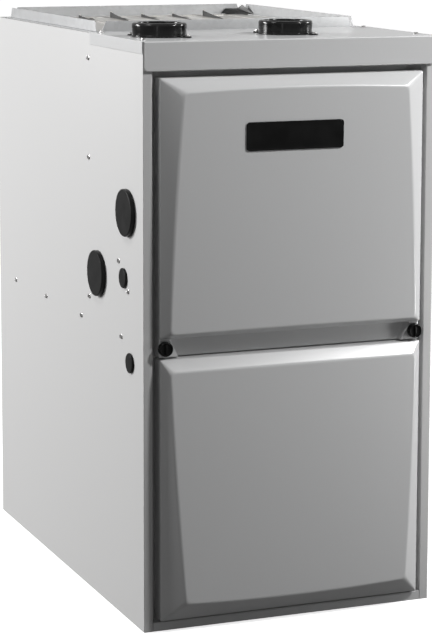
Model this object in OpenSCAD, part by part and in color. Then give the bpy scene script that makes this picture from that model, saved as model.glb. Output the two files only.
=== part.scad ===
// Forced air gas furnace, upflow, condensing, with a folded sheet steel cabinet.
// Millimetres. +Z is up and the doors face -Y. The origin lies under the middle of the whole
// object, on the floor. Inside the modules y is counted from the cabinet's front plane backwards,
// and at_front() moves a finished piece into the object's own frame.

/* [Cabinet] */
// Width over the side walls
cab_w = 445; // [400:1:620]
// Depth from the front stiles to the outside of the back wall
cab_d = 700; // [680:1:800]
// Height to the upper face of the top cap
cab_h = 831; // [820:1:900]
// Thickness of the cabinet sheet
sheet_t = 1; // [0.7:0.1:1.5]
// Width of each front stile
stile_w = 14; // [10:0.5:20]
// Depth of the door landing behind the front plane
door_recess = 17; // [14:0.5:22]
// Width of the landing strip behind the door's edge
landing_w = 24; // [22:0.5:30]
// Height of the visible sill under the lower door
sill_h = 13; // [8:0.5:20]
// Width of the ledge folded in round the top of the walls
ledge_w = 24; // [22:0.5:30]

/* [Top cap] */
// Height of the header at the front
header_h = 41; // [30:0.5:50]
// How far the header stands in front of the stiles
header_proud = 4; // [2:0.5:8]
// Gap between the header's ends and the outside of the side walls
header_inset = 1.5; // [1:0.1:4]
// Radius of the header's lower corners
header_r = 6; // [2:0.5:10]
// Depth of the lip folded back under the header
header_lip = 3; // [2:0.5:3.5]
// Depth of the cap's plate behind the front plane
cap_d = 230; // [224:1:240]
// Length of the cap's side skirts behind the front plane
skirt_d = 224; // [200:1:228]
// Height of the cap's side skirts
skirt_h = 17; // [10:0.5:25]
// How far the upper landing reaches below the header
top_landing_drop = 22; // [18:0.5:30]

/* [Supply opening] */
// Distance of the side and rear flanges from the outside of the cabinet
flange_inset = 16; // [12:0.5:18]
// Height of the flanges above the ledge
flange_h = 16; // [10:0.5:25]
// How far each flange narrows towards its upper edge, at each end
flange_taper = 7; // [3:0.5:12]
// Width of the foot that the flange stands on
flange_foot = 8; // [6:0.5:8]
// Gap between the ends of neighbouring flanges at the corners
corner_gap = 6; // [3:0.5:12]

/* [Base] */
// Width of the return air opening
return_w = 370; // [300:1:380]
// Depth of the return air opening
return_d = 580; // [450:1:600]
// Distance of the return air opening behind the front plane
return_y = 60; // [45:1:70]
// Height of the folds round the edge of the base pan
base_fold = 34; // [25:1:45]

/* [Doors] */
// Height of the line between the doors above the floor
split_z = 391; // [385:0.5:395]
// Gap between the two doors
door_seam = 2; // [1:0.5:4]
// Gap between the header and the upper door
top_gap = 9; // [5:0.5:14]
// Gap between the sill and the lower door
bottom_gap = 2.5; // [1.5:0.5:5]
// Gap between the stile and the door's side
side_gap = 8.5; // [6:0.5:10]
// Thickness of the door sheet
door_t = 1.2; // [0.8:0.1:1.6]
// Clearance between the door's rear edge and its landing
door_clear = 0.3; // [0.2:0.1:0.6]
// How far the door's outer edge stands in front of the stiles
edge_proud = 6; // [4:0.5:10]
// How far the upper door's ridge stands out at its top
upper_top_proud = 23; // [18:0.5:30]
// How far the upper door's ridge stands out at its foot
upper_foot_proud = 17; // [14:0.5:22]
// How far the lower door's ridge stands out at its top
lower_top_proud = 18; // [14:0.5:22]
// How far the lower door's ridge stands out at its foot
lower_foot_proud = 31; // [25:0.5:35]
// Inset of the ridge from the door's side where the doors meet
ridge_near = 12; // [9:0.5:18]
// Inset of the ridge from the door's side at the far end of each door
ridge_far = 30; // [22:0.5:40]
// Height of the bevel at the top of the upper door
upper_top_bevel = 20; // [14:0.5:26]
// Height of the bevel at the foot of the upper door's raised face
upper_foot_bevel = 7; // [5:0.5:12]
// Height of the bevel at the top of the lower door
lower_top_bevel = 17; // [12:0.5:24]
// Height of the bevel at the foot of the lower door
lower_foot_bevel = 29; // [22:0.5:34]
// Rise of the curved ridges over a door's width
ridge_arch = 5; // [2:0.5:8]
// Height of the flat band that carries the knobs
band_h = 27; // [25.5:0.5:32]
// How far the band stands in front of the stiles
band_proud = 2; // [1:0.5:4]
// Thickness of the insulation board behind the lower door
liner_t = 14; // [8:0.5:16]

/* [Knobs] */
// Diameter of the door knobs
knob_dia = 21; // [16:0.5:23]
// Height of the door knobs
knob_h = 8; // [5:0.5:12]
// Diameter of the knob's stud
stud_dia = 6; // [5:0.5:7]
// Distance of the knobs from the middle of the door
knob_x = 192; // [190:0.5:193]
// Height of the knobs above the lower edge of the upper door
knob_rise = 13; // [12.5:0.5:14]

/* [Badge] */
// Width of the bare badge plate
badge_w = 147; // [100:1:180]
// Height of the bare badge plate
badge_h = 40; // [25:1:50]
// Thickness of the badge plate
badge_t = 2; // [1:0.5:4]
// Corner radius of the badge plate
badge_r = 5; // [2:0.5:10]
// Height of the badge's middle above the floor
badge_z = 698; // [600:1:720]
// Distance of the badge's middle from the middle of the door
badge_x = -5; // [-20:1:20]

/* [Pipe collars] */
// Outer diameter of the PVC pipe that each collar takes
pipe_dia = 60.3; // [58:0.1:62]
// Wall of the PVC pipe
pipe_wall = 4; // [3:0.1:5]
// Radial clearance between pipe and socket
socket_clear = 0.15; // [0.1:0.05:0.4]
// Outer diameter of a collar above the cap
collar_dia = 78; // [74:0.5:82]
// Height of a collar above the cap
collar_rise = 20; // [14:0.5:30]
// Depth of a collar below the cap
collar_drop = 35; // [30:0.5:40]
// Depth of the upper socket
socket_depth = 34; // [25:0.5:40]
// Height of the stop between the two sockets
stop_h = 4; // [2:0.5:6]
// Distance of both collars behind the front plane
collar_y = 99; // [95:1:103]
// Distance of the exhaust collar from the middle, to the left
exhaust_x = 162; // [155:1:165]
// Distance of the intake collar from the middle, to the right
intake_x = 31; // [20:1:60]
// Distance of the fixing ears from the collar's axis
ear_reach = 48; // [46:0.5:52]

/* [Side plugs] */
// Diameter of a large plug's cap
big_plug_dia = 67; // [65:0.5:72]
// Diameter of a small plug's cap
small_plug_dia = 28.6; // [26:0.1:32]
// Diameter of the hole behind a large plug
big_hole_dia = 61; // [58:0.5:63]
// Diameter of the hole behind a small plug
small_hole_dia = 22.2; // [20:0.1:24]
// How far a large plug stands out of the wall
big_plug_proud = 7; // [4:0.5:9]
// How far a small plug stands out of the wall
small_plug_proud = 3.5; // [2:0.5:5]

/* [Deck and vest panel] */
// Height of the upper face of the blower deck
deck_z = 418; // [414:1:425]
// Height of the folds at the edges of the deck
deck_fold = 20; // [16:1:24]
// Distance of the vest panel behind the front plane
vest_y = 224; // [222:1:226]
// Depth of the folds at the edges of the vest panel
vest_fold = 20; // [14:1:24]

/* [Heat exchanger] */
// Pitch of the heat exchanger cells
cell_pitch = 54.5; // [52:0.5:56]
// Width of a cell over its passes
cell_w = 40; // [34:0.5:44]
// Thickness of a cell's crimped seam between its passes
web_w = 3; // [2.5:0.5:6]
// Distance of the cells' upper faces below the cap's upper face
cell_drop = 3; // [2:0.5:6]
// Height of a cell
cell_h = 300; // [280:1:310]
// Depth of a cell from front to back
cell_d = 425; // [400:1:430]
// Wall of a cell
cell_t = 1.2; // [1:0.1:2]

/* [Blower] */
// Diameter of the blower wheel
wheel_dia = 254; // [240:1:258]
// Width of the blower wheel
wheel_w = 200; // [180:1:210]
// Width of the blower housing
scroll_w = 230; // [222:1:250]
// Height of the wheel's axis above the floor
wheel_z = 205; // [203:1:215]
// Distance of the wheel's axis behind the front plane
wheel_y = 400; // [390:1:420]
// Largest radius of the scroll
scroll_max = 190; // [180:1:200]
// Diameter of the blower motor
motor_dia = 124; // [110:1:135]
// Diameter of the blower shaft
shaft_dia = 12.7; // [12:0.1:14]

/* [Inducer] */
// Radius of the inducer's scroll
inducer_r = 70; // [64:1:72]
// Depth of the inducer's scroll
inducer_d = 54; // [46:1:56]
// Height of the inducer's axis above the deck
inducer_rise = 82; // [80:1:90]
// Distance of the inducer's axis from the middle, to the left
inducer_x = 100; // [92:1:106]

/* [Controls] */
// Travel of the door switch's plunger
switch_travel = 3; // [2:0.5:4]
// Diameter of the gas valve's knob
gas_knob_dia = 30; // [24:1:36]
// Radius of the gas inlet's thread
gas_inlet_r = 10.4; // [10:0.1:11]

/* [Hidden] */
$fn = 64;
eps = 0.01;
part_gap = 0.3;
shaft_end_gap = 2;
seat_clear = 0.02;
spin_clear = 0.05;
half_w = cab_w / 2;
wall_in = half_w - sheet_t;
wrap_h = cab_h - sheet_t;
return_x = half_w - stile_w;
landing_x = return_x - landing_w;
y_front = (lower_foot_proud - cab_d) / 2;
back_in = cab_d - sheet_t;

header_z = cab_h - header_h;
landing_z = header_z - top_landing_drop;

door_half = return_x - side_gap;
door_back = door_recess - door_clear;
upper_z0 = split_z + door_seam / 2;
upper_z1 = header_z - top_gap;
lower_z0 = sill_h + bottom_gap;
lower_z1 = split_z - door_seam / 2;
band_z1 = upper_z0 + band_h;
knob_z = upper_z0 + knob_rise;
ridge_steps = 10;
ridge_curve = 1.5;
stud_r = stud_dia / 2;
stud_clear = 0.3;
stud_tip = 4;
stud_end = door_recess + sheet_t + stud_tip;
landing_hole_r = stud_r + 1.5;

deck_low = deck_z - sheet_t;
rail_z0 = split_z - 11;
rail_tab = 14;
rail_tab_h = 16;
rail_shelf = 22;

socket_r = pipe_dia / 2 + socket_clear;
neck_r = socket_r + 4;
neck_clear = 0.3;
ear_t = 2;
ear_r = 6;
ear_angle = 125;
pipe_r = pipe_dia / 2;
stop_r = pipe_r - pipe_wall;

screw_head_dia = 8;
screw_head_h = 2.5;
screw_dia = 4;
screw_clear = 0.15;
screw_len = 7;
vest_screw_y = vest_y + 8;
vest_screw_margin = 25;
vest_screw_drop = 37;
vest_screw_pitch = 145;
vest_screw_z = [deck_z + vest_screw_margin, cab_h - vest_screw_drop - vest_screw_pitch,
                cab_h - vest_screw_drop];
deck_screw_end = 93;
deck_screw_y = [91, 270, 444, cab_d - deck_screw_end];
deck_screw_z = deck_z - deck_fold / 2;
box_screws = [[62, 477], [101, 515]];
cap_screw_y = [36, cap_d - 18];
cap_screw_x = half_w - 14;
cap_tab_half = 12;
// Side plugs: distance behind the front plane, height, cap radius, hole radius, standing out
plugs = [
    [64, 588.5, big_plug_dia / 2, big_hole_dia / 2, big_plug_proud],
    [191, 483.5, big_plug_dia / 2, big_hole_dia / 2, big_plug_proud],
    [79.5, 493.5, small_plug_dia / 2, small_hole_dia / 2, small_plug_proud],
    [52.5, 376.5, small_plug_dia / 2, small_hole_dia / 2, small_plug_proud],
];
plug_lip = 1.5;
plug_skirt = 6;
plug_clear = 0.2;
plug_rim = 2.5;

cell_count = 6;
cell_z1 = cab_h - cell_drop;
cell_z0 = cell_z1 - cell_h;
cell_y0 = vest_y + sheet_t;
cell_y1 = cell_y0 + cell_d;
pass_h = 42;
pass_r = 16;
pass_count = 4;
pass_pitch = (cell_h - pass_h) / (pass_count - 1);
burner_z = cell_z1 - pass_h / 2 - pass_pitch;
outlet_z = cell_z0 + pass_h / 2;
port_r = 16;
port_clear = 0.3;

header_box_d = 40;
coil_x = 180;
coil_z0 = deck_z + 20;
coil_h = 72;
coil_y0 = cell_y0 + 20;
coil_y1 = cell_y1 - 10;
fin_t = 1.5;
fin_count = 14;
coil_tube_r = 8;
coil_rows = [18, 54];
coil_cols = 5;
coil_col_pitch = 58;
tube_clear = 0.15;
tube_end = 2;
header_margin = 5;

burner_box_x = 172;
burner_box_d = 72;
burner_box_h = 96;
burner_box_y = vest_y - burner_box_d;
burner_box_z = burner_z - 44;
manifold_y = burner_box_y - 14;
manifold_r = 10.6;
manifold_x0 = -146;
manifold_x1 = 160;

valve_x = manifold_x1;
valve_w = 66;
valve_h = 78;
valve_d = 62;
valve_z1 = burner_z - 46;
valve_z0 = valve_z1 - valve_h;
valve_y0 = manifold_y - valve_d / 2;
gas_knob_z = valve_z0 + 44;
gas_knob_h = 16;
spindle_r = 4;

inducer_z = deck_z + inducer_rise;
inducer_y0 = collar_y - inducer_d / 2;
inducer_y1 = inducer_y0 + inducer_d;
inducer_t = 3;
fan_r = inducer_r - 14;
inducer_motor_r = 36;
inducer_motor_d = 44;
inducer_shaft_r = 4;
stub_top = inducer_z + 100;
collector_y = vest_y - 28;
collector_z0 = deck_z + 14;
collector_z1 = inducer_z + 35;
collector_x0 = -170;
collector_x1 = 130;

scroll_half = scroll_w / 2;
scroll_t = 1;
cutoff_r = wheel_dia / 2 + 15;
cutoff_angle = 75;
scroll_steps = 36;
inlet_r = wheel_dia / 2 - 22;
shaft_r = shaft_dia / 2;
motor_x0 = -scroll_half;
motor_x1 = -5;
hub_x0 = 8;
hub_x1 = 40;
disc_x = 22;
blade_count = 32;
ring_w = 12;

tray_y = 70;
tray_t = 1.2;
tray_x = 165;
tray_h = 173;
tray_z0 = deck_z - tray_h;
tray_lip = 14;
board_w = 180;
board_h = 118;
board_t = 1.6;
board_x0 = -150;
board_z0 = tray_z0 + 27;
board_y = tray_y - 9;
post_r = 3;
post_inset = 8;
relay = [18, 16, 24];
relay_first = [16, 70];
relay_pitch = 28;
relay_count = 4;
terminal = [100, 9, 12];
terminal_first = [20, 16];
core = [52, 44, 50];
core_x = 60;
core_z = tray_z0 + 27;
core_foot = 12;
core_foot_t = 2;
switch_x = 118;
switch_z = tray_z0 + 117;
switch_y0 = door_recess + 5;
switch_d = 30;
switch_half = 12;
bore_depth = 24;
plunger_tip = door_recess;
plunger_end_gap = 2;
plunger_r = 3;

// Routes of the two hoses, as x, distance behind the front plane and height
pressure_hose_path = [
    [60, 186, 566], [60, 172, 566], [52, 160, 570], [32, 150, 580],
    [2, 140, 590], [-28, 128, 596], [-52, 114, 596], [-66, 104, 590],
    [-72, 99, 582], [-72, 99, 574],
];
drain_hose_path = [
    [132, 210, 446], [140, 210, 446], [150, 206, 444], [160, 196, 440],
    [168, 180, 437], [174, 164, 436], [176, 152, 436], [176, 144, 436],
];

paint_side = [0.88, 0.88, 0.87];
paint_front = [0.62, 0.63, 0.63];
galvanised = [0.74, 0.75, 0.76];
black_plastic = [0.05, 0.05, 0.05];
burnished = [0.62, 0.6, 0.56];

// Moves a piece laid out from the front plane into the object's own frame
module at_front() {
    translate([0, y_front, 0])
        children();
}

// The child and its mirror image on the other side of the cabinet
module both_sides() {
    children();
    mirror([1, 0, 0])
        children();
}

// A block between two opposite corners
module block(low, high) {
    translate(low)
        cube(high - low);
}

// A cylinder from a point towards +Y
module rod_y(at, r, len) {
    translate(at)
        rotate([-90, 0, 0])
            cylinder(r = r, h = len);
}

// A cylinder from a point towards +X
module rod_x(at, r, len) {
    translate(at)
        rotate([0, 90, 0])
            cylinder(r = r, h = len);
}

// A cylinder from a point upwards
module rod_z(at, r, len) {
    translate(at)
        cylinder(r = r, h = len);
}

// A rectangle with round corners, centred
module round_rect(w, h, r) {
    square([w - 2 * r, h], center = true);
    square([w, h - 2 * r], center = true);
    for (sx = [-1, 1])
        for (sz = [-1, 1])
            translate([sx * (w / 2 - r), sz * (h / 2 - r)])
                circle(r = r);
}

// Lays a drawing in the upright plane across the cabinet and extrudes it backwards
module drawn_across(y0, len) {
    translate([0, y0 + len, 0])
        rotate([90, 0, 0])
            linear_extrude(height = len)
                children();
}

function unit(v) = v / norm(v);
function tangent(p, i) = unit(p[min(i + 1, len(p) - 1)] - p[max(i - 1, 0)]);
function next_normal(n, t) = unit(n - t * (n * t));
function normals(p, i, n) =
    i == len(p) ? [] : concat([next_normal(n, tangent(p, i))],
                              normals(p, i + 1, next_normal(n, tangent(p, i))));

// A round tube swept along a list of points, with flat ends
module swept_tube(path, r, sides, first_normal) {
    count = len(path);
    side_n = normals(path, 0, first_normal);
    points = [
        for (i = [0 : count - 1])
            let (t = tangent(path, i), n = side_n[i], b = cross(t, n))
                for (k = [0 : sides - 1])
                    path[i] + r * (cos(360 * k / sides) * n + sin(360 * k / sides) * b)
    ];
    walls = [
        for (i = [0 : count - 2])
            for (k = [0 : sides - 1])
                let (a = i * sides + k, b = i * sides + (k + 1) % sides)
                    each [[a, a + sides, b], [b, a + sides, b + sides]]
    ];
    first = [for (k = [0 : sides - 1]) k];
    last = [for (k = [sides - 1 : -1 : 0]) (count - 1) * sides + k];
    polyhedron(points = points, faces = concat(walls, [first, last]));
}

// ---- Cabinet ----

module plug_holes(extra) {
    for (p = plugs)
        rod_x([wall_in - sheet_t - eps, p[0], p[1]], p[3] + extra, 2 * sheet_t + 2 * eps);
}

module side_screw_holes() {
    reach = 2 * sheet_t + 2 * eps;
    start = wall_in - sheet_t - eps;
    hole_r = screw_dia / 2 + screw_clear;
    for (z = vest_screw_z)
        rod_x([start, vest_screw_y, z], hole_r, reach);
    for (y = deck_screw_y)
        rod_x([start, y, deck_screw_z], hole_r, reach);
}

module cap_screw_holes() {
    hole_r = screw_dia / 2 + screw_clear;
    for (y = cap_screw_y)
        rod_z([cap_screw_x, y, wrap_h - sheet_t - eps], hole_r, 2 * sheet_t + 2 * eps);
}

module ledge_tabs() {
    for (y = cap_screw_y)
        block([wall_in - ledge_w, y - cap_tab_half, wrap_h - sheet_t],
              [wall_in, y + cap_tab_half, wrap_h]);
}

module cabinet_side() {
    ledge_y = vest_y + vest_fold;
    difference() {
        union() {
            block([wall_in, 0, 0], [half_w, cab_d, wrap_h]);
            block([return_x, 0, 0], [half_w, sheet_t, wrap_h]);
            block([return_x, 0, 0], [return_x + sheet_t, door_recess, wrap_h]);
            block([landing_x, door_recess, sill_h],
                  [return_x + sheet_t, door_recess + sheet_t, wrap_h]);
            block([wall_in - ledge_w, ledge_y, wrap_h - sheet_t], [wall_in, back_in, wrap_h]);
            ledge_tabs();
        }
        plug_holes(0);
        side_screw_holes();
        cap_screw_holes();
        rod_y([knob_x, door_recess - eps, knob_z], landing_hole_r, sheet_t + 2 * eps);
    }
}

module cabinet_wrapper() {
    color(paint_side)
        at_front()
            difference() {
                union() {
                    both_sides()
                        cabinet_side();
                    block([-wall_in, back_in, 0], [wall_in, cab_d, wrap_h]);
                    block([-wall_in, back_in - ledge_w, wrap_h - sheet_t],
                          [wall_in, back_in, wrap_h]);
                }
                for (s = box_screws)
                    rod_x([-half_w - eps, s[0], s[1]], screw_dia / 2 + screw_clear,
                          sheet_t + 2 * eps);
            }
}

module base_pan() {
    landing_y = door_recess + sheet_t;
    color(galvanised)
        at_front()
            difference() {
                union() {
                    block([-wall_in, landing_y, 0], [wall_in, back_in, sheet_t]);
                    block([-return_x, 0, 0], [return_x, landing_y, sheet_t]);
                    block([-return_x, 0, 0], [return_x, sheet_t, sill_h]);
                    block([-return_x, 0, sill_h - sheet_t], [return_x, landing_y, sill_h]);
                    block([-landing_x, door_recess, sill_h - sheet_t],
                          [landing_x, landing_y, sill_h + landing_w]);
                    both_sides()
                        block([wall_in - sheet_t, landing_y, 0], [wall_in, back_in, base_fold]);
                    block([-wall_in, back_in - sheet_t, 0], [wall_in, back_in, base_fold]);
                }
                block([-return_w / 2, return_y, -eps],
                      [return_w / 2, return_y + return_d, sheet_t + eps]);
            }
}

module scroll_outlet(y_side) {
    y0 = wheel_y + cutoff_r * cos(cutoff_angle);
    y1 = wheel_y + scroll_max;
    block([-scroll_half + scroll_t, y0 + scroll_t, deck_low - eps],
          [scroll_half - scroll_t, y1 - scroll_t, deck_z + eps]);
}

module blower_deck() {
    landing_y = door_recess + sheet_t;
    color(galvanised)
        at_front()
            difference() {
                union() {
                    block([-wall_in, landing_y, deck_low], [wall_in, back_in, deck_z]);
                    both_sides()
                        block([wall_in - sheet_t, landing_y, deck_z - deck_fold],
                              [wall_in, back_in, deck_z]);
                    block([-wall_in, back_in - sheet_t, deck_z - deck_fold],
                          [wall_in, back_in, deck_z]);
                }
                scroll_outlet();
                both_sides()
                    side_screw_holes();
            }
}

module door_rail() {
    landing_y = door_recess + sheet_t;
    color(galvanised)
        at_front()
            union() {
                block([-landing_x, door_recess, rail_z0], [landing_x, landing_y, deck_low]);
                block([-landing_x, door_recess, deck_low - sheet_t],
                      [landing_x, door_recess + rail_shelf, deck_low]);
                both_sides()
                    block([landing_x - rail_tab, landing_y, rail_z0],
                          [landing_x + rail_tab, landing_y + sheet_t, rail_z0 + rail_tab_h]);
            }
}

module header_outline() {
    w = half_w - header_inset;
    translate([-w + header_r, header_z])
        square([2 * (w - header_r), header_h]);
    translate([-w, header_z + header_r])
        square([2 * w, header_h - header_r]);
    for (sx = [-1, 1])
        translate([sx * (w - header_r), header_z + header_r])
            circle(r = header_r);
}

module top_cap() {
    lip_half = half_w - header_inset - header_r;
    color(paint_front)
        at_front()
            difference() {
                union() {
                    block([-half_w, -header_proud, wrap_h], [half_w, cap_d, cab_h]);
                    drawn_across(-header_proud, sheet_t)
                        header_outline();
                    block([-lip_half, -header_proud, header_z],
                          [lip_half, -header_proud + header_lip, header_z + sheet_t]);
                    block([-landing_x, door_recess, landing_z],
                          [landing_x, door_recess + sheet_t, wrap_h]);
                    both_sides()
                        block([half_w, 0, cab_h - skirt_h], [half_w + sheet_t, skirt_d, cab_h]);
                }
                for (x = [-exhaust_x, intake_x]) {
                    rod_z([x, collar_y, wrap_h - eps], neck_r + neck_clear, sheet_t + 2 * eps);
                    collar_ears_at(x)
                        rod_z([0, 0, wrap_h - eps], screw_dia / 2 + screw_clear,
                              sheet_t + 2 * eps);
                }
                both_sides()
                    cap_screw_holes();
                header_corner_cuts();
            }
}

// The plate's front corners are trimmed to the header's ends
module header_corner_cuts() {
    both_sides()
        block([half_w - header_inset, -header_proud - eps, wrap_h - eps],
              [half_w + sheet_t + eps, 0, cab_h + eps]);
}

// ---- Supply opening ----

module flange_blade(len) {
    linear_extrude(height = sheet_t)
        polygon([[-len / 2, 0], [len / 2, 0], [len / 2, sheet_t],
                 [len / 2 - flange_taper, flange_h], [-len / 2 + flange_taper, flange_h],
                 [-len / 2, sheet_t]]);
}

// An angle with its upright blade at y = 0..sheet_t and its foot towards -Y
module flange_angle(len) {
    translate([0, sheet_t, 0])
        rotate([90, 0, 0])
            flange_blade(len);
    block([-len / 2, sheet_t - flange_foot, 0], [len / 2, sheet_t, sheet_t]);
}

supply_x = half_w - flange_inset;
supply_y0 = cap_d + flange_foot - sheet_t;
supply_y1 = cab_d - flange_inset;

module supply_flange_front() {
    color(galvanised)
        at_front()
            translate([0, supply_y0, wrap_h])
                flange_angle(2 * (supply_x - corner_gap));
}

module supply_flange_rear() {
    color(galvanised)
        at_front()
            translate([0, supply_y1, wrap_h])
                rotate([0, 0, 180])
                    flange_angle(2 * (supply_x - corner_gap));
}

module supply_flange_side(dir) {
    side_y0 = vest_y + vest_fold;
    side_y1 = supply_y1 - corner_gap;
    color(galvanised)
        at_front()
            translate([dir * supply_x, (side_y0 + side_y1) / 2, wrap_h])
                rotate([0, 0, dir * 90])
                    flange_angle(side_y1 - side_y0);
}

module supply_flange_left() {
    supply_flange_side(-1);
}

module supply_flange_right() {
    supply_flange_side(1);
}

// ---- Vest panel, collars, plugs and screws ----

function cell_x(i) = (i - (cell_count - 1) / 2) * cell_pitch;
function coil_x_at(i) = (i - (coil_cols - 1) / 2) * coil_col_pitch;

module coil_holes(y0, len, r) {
    for (i = [0 : coil_cols - 1])
        for (z = coil_rows)
            rod_y([coil_x_at(i), y0, coil_z0 + z], r, len);
}

module vest_panel() {
    color(galvanised)
        at_front()
            difference() {
                union() {
                    block([-wall_in, vest_y, deck_z], [wall_in, vest_y + sheet_t, wrap_h]);
                    block([-wall_in, vest_y, wrap_h - sheet_t],
                          [wall_in, vest_y + vest_fold, wrap_h]);
                    both_sides()
                        block([wall_in - sheet_t, vest_y, deck_z],
                              [wall_in, vest_y + vest_fold, wrap_h]);
                }
                for (i = [0 : cell_count - 1])
                    rod_y([cell_x(i), vest_y - eps, burner_z], port_r, sheet_t + 2 * eps);
                coil_holes(vest_y - eps, sheet_t + 2 * eps, coil_tube_r + tube_clear);
                both_sides()
                    side_screw_holes();
            }
}

// Puts its child at the two fixing ears of a collar
module collar_ears_at(x) {
    for (a = [0, 180])
        translate([x, collar_y, 0])
            rotate([0, 0, a + ear_angle])
                translate([ear_reach, 0, 0])
                    children();
}

module pipe_collar(x) {
    top = cab_h + collar_rise;
    low = cab_h - collar_drop;
    rim_r = 5;
    color(black_plastic)
        at_front()
            difference() {
                union() {
                    translate([x, collar_y, 0])
                        rotate_extrude() {
                            translate([0, cab_h])
                                square([collar_dia / 2, collar_rise - rim_r]);
                            translate([0, cab_h])
                                square([collar_dia / 2 - rim_r, collar_rise]);
                            translate([collar_dia / 2 - rim_r, top - rim_r])
                                circle(r = rim_r);
                            translate([0, low])
                                square([neck_r, collar_drop]);
                        }
                    collar_ears_at(x)
                        rod_z([0, 0, cab_h], ear_r, ear_t);
                    translate([x, collar_y, cab_h])
                        rotate([0, 0, ear_angle])
                            block([-ear_reach, -ear_r, 0], [ear_reach, ear_r, ear_t]);
                }
                rod_z([x, collar_y, top - socket_depth], socket_r, socket_depth + eps);
                rod_z([x, collar_y, low - eps], stop_r, collar_drop + eps);
                rod_z([x, collar_y, low - eps], socket_r,
                      collar_drop + collar_rise - socket_depth - stop_h + eps);
                collar_ears_at(x)
                    rod_z([0, 0, cab_h - eps], screw_dia / 2 + screw_clear, ear_t + 2 * eps);
            }
}

module exhaust_collar() {
    pipe_collar(-exhaust_x);
}

module intake_collar() {
    pipe_collar(intake_x);
}

module knockout_plug(cap_r, hole_r, proud) {
    rim = min(plug_rim, proud / 2);
    rotate([0, 90, 0])
        rotate_extrude()
            difference() {
                union() {
                    square([cap_r, proud - rim]);
                    square([cap_r - rim, proud]);
                    translate([cap_r - rim, proud - rim])
                        circle(r = rim);
                    translate([0, -plug_skirt])
                        square([hole_r - plug_clear, plug_skirt]);
                }
                translate([-eps, -plug_skirt - eps])
                    square([hole_r - plug_clear - plug_lip + eps, plug_skirt + plug_lip]);
            }
}

module knockout_plugs() {
    color(black_plastic)
        at_front()
            both_sides()
                for (p = plugs)
                    translate([half_w, p[0], p[1]])
                        knockout_plug(p[2], p[3], p[4]);
}

module screw() {
    crown = 1;
    rotate_extrude() {
        square([screw_head_dia / 2, screw_head_h - crown]);
        square([screw_head_dia / 2 - crown, screw_head_h]);
        translate([0, -screw_len])
            square([screw_dia / 2, screw_len]);
    }
}

module cabinet_screws() {
    color(galvanised)
        at_front() {
            both_sides() {
                for (z = vest_screw_z)
                    translate([half_w, vest_screw_y, z])
                        rotate([0, 90, 0])
                            screw();
                for (y = deck_screw_y)
                    translate([half_w, y, deck_screw_z])
                        rotate([0, 90, 0])
                            screw();
                for (y = cap_screw_y)
                    translate([cap_screw_x, y, cab_h])
                        screw();
            }
            for (s = box_screws)
                translate([-half_w, s[0], s[1]])
                    rotate([0, -90, 0])
                        screw();
            for (x = [-exhaust_x, intake_x])
                collar_ears_at(x)
                    translate([0, 0, cab_h + ear_t])
                        screw();
        }
}

// ---- Heat exchanger ----

module cell_passes(w, h, r, y0, len) {
    for (k = [0 : pass_count - 1])
        drawn_across(y0, len)
            translate([0, outlet_z + k * pass_pitch])
                round_rect(w, h, r);
}

module heat_exchanger_cell(i) {
    inner_w = cell_w - 2 * cell_t;
    inner_h = pass_h - 2 * cell_t;
    web_half = web_w / 2;
    color(burnished)
        at_front()
            translate([cell_x(i), 0, 0])
                difference() {
                    union() {
                        cell_passes(cell_w, pass_h, pass_r, cell_y0, cell_d);
                        block([-web_half, cell_y0, cell_z0 + pass_h / 2],
                              [web_half, cell_y1, cell_z1 - pass_h / 2]);
                    }
                    cell_passes(inner_w, inner_h, pass_r - cell_t, cell_y0 + cell_t,
                                cell_d - 2 * cell_t);
                    rod_y([0, cell_y0 - eps, burner_z], port_r, cell_t + 2 * eps);
                    rod_y([0, cell_y1 - cell_t - eps, outlet_z], port_r, cell_t + 2 * eps);
                }
}

module heat_exchanger_cell_1() {
    heat_exchanger_cell(0);
}

module heat_exchanger_cell_2() {
    heat_exchanger_cell(1);
}

module heat_exchanger_cell_3() {
    heat_exchanger_cell(2);
}

module heat_exchanger_cell_4() {
    heat_exchanger_cell(3);
}

module heat_exchanger_cell_5() {
    heat_exchanger_cell(4);
}

module heat_exchanger_cell_6() {
    heat_exchanger_cell(5);
}

module hot_header() {
    low = [-coil_x, cell_y1, coil_z0 - header_margin];
    high = [coil_x, cell_y1 + header_box_d, cell_z0 + pass_h + header_margin];
    wall = [cell_t, cell_t, cell_t];
    color(burnished)
        at_front()
            difference() {
                block(low, high);
                block(low + wall, high - wall);
                for (i = [0 : cell_count - 1])
                    rod_y([cell_x(i), cell_y1 - eps, outlet_z], port_r, cell_t + 2 * eps);
                coil_holes(cell_y1 - eps, cell_t + 2 * eps, coil_tube_r + tube_clear);
            }
}

module coil_fins() {
    pitch = (coil_y1 - coil_y0 - fin_t) / (fin_count - 1);
    color("silver")
        at_front()
            difference() {
                for (i = [0 : fin_count - 1])
                    block([-coil_x, coil_y0 + i * pitch, coil_z0],
                          [coil_x, coil_y0 + i * pitch + fin_t, coil_z0 + coil_h]);
                coil_holes(coil_y0 - eps, coil_y1 - coil_y0 + 2 * eps, coil_tube_r + tube_clear);
            }
}

module coil_tubes() {
    y0 = vest_y - tube_end;
    y1 = cell_y1 + cell_t + tube_end;
    color("silver")
        at_front()
            difference() {
                coil_holes(y0, y1 - y0, coil_tube_r);
                coil_holes(y0 - eps, y1 - y0 + 2 * eps, coil_tube_r - fin_t);
            }
}

// ---- Vestibule ----

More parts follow.
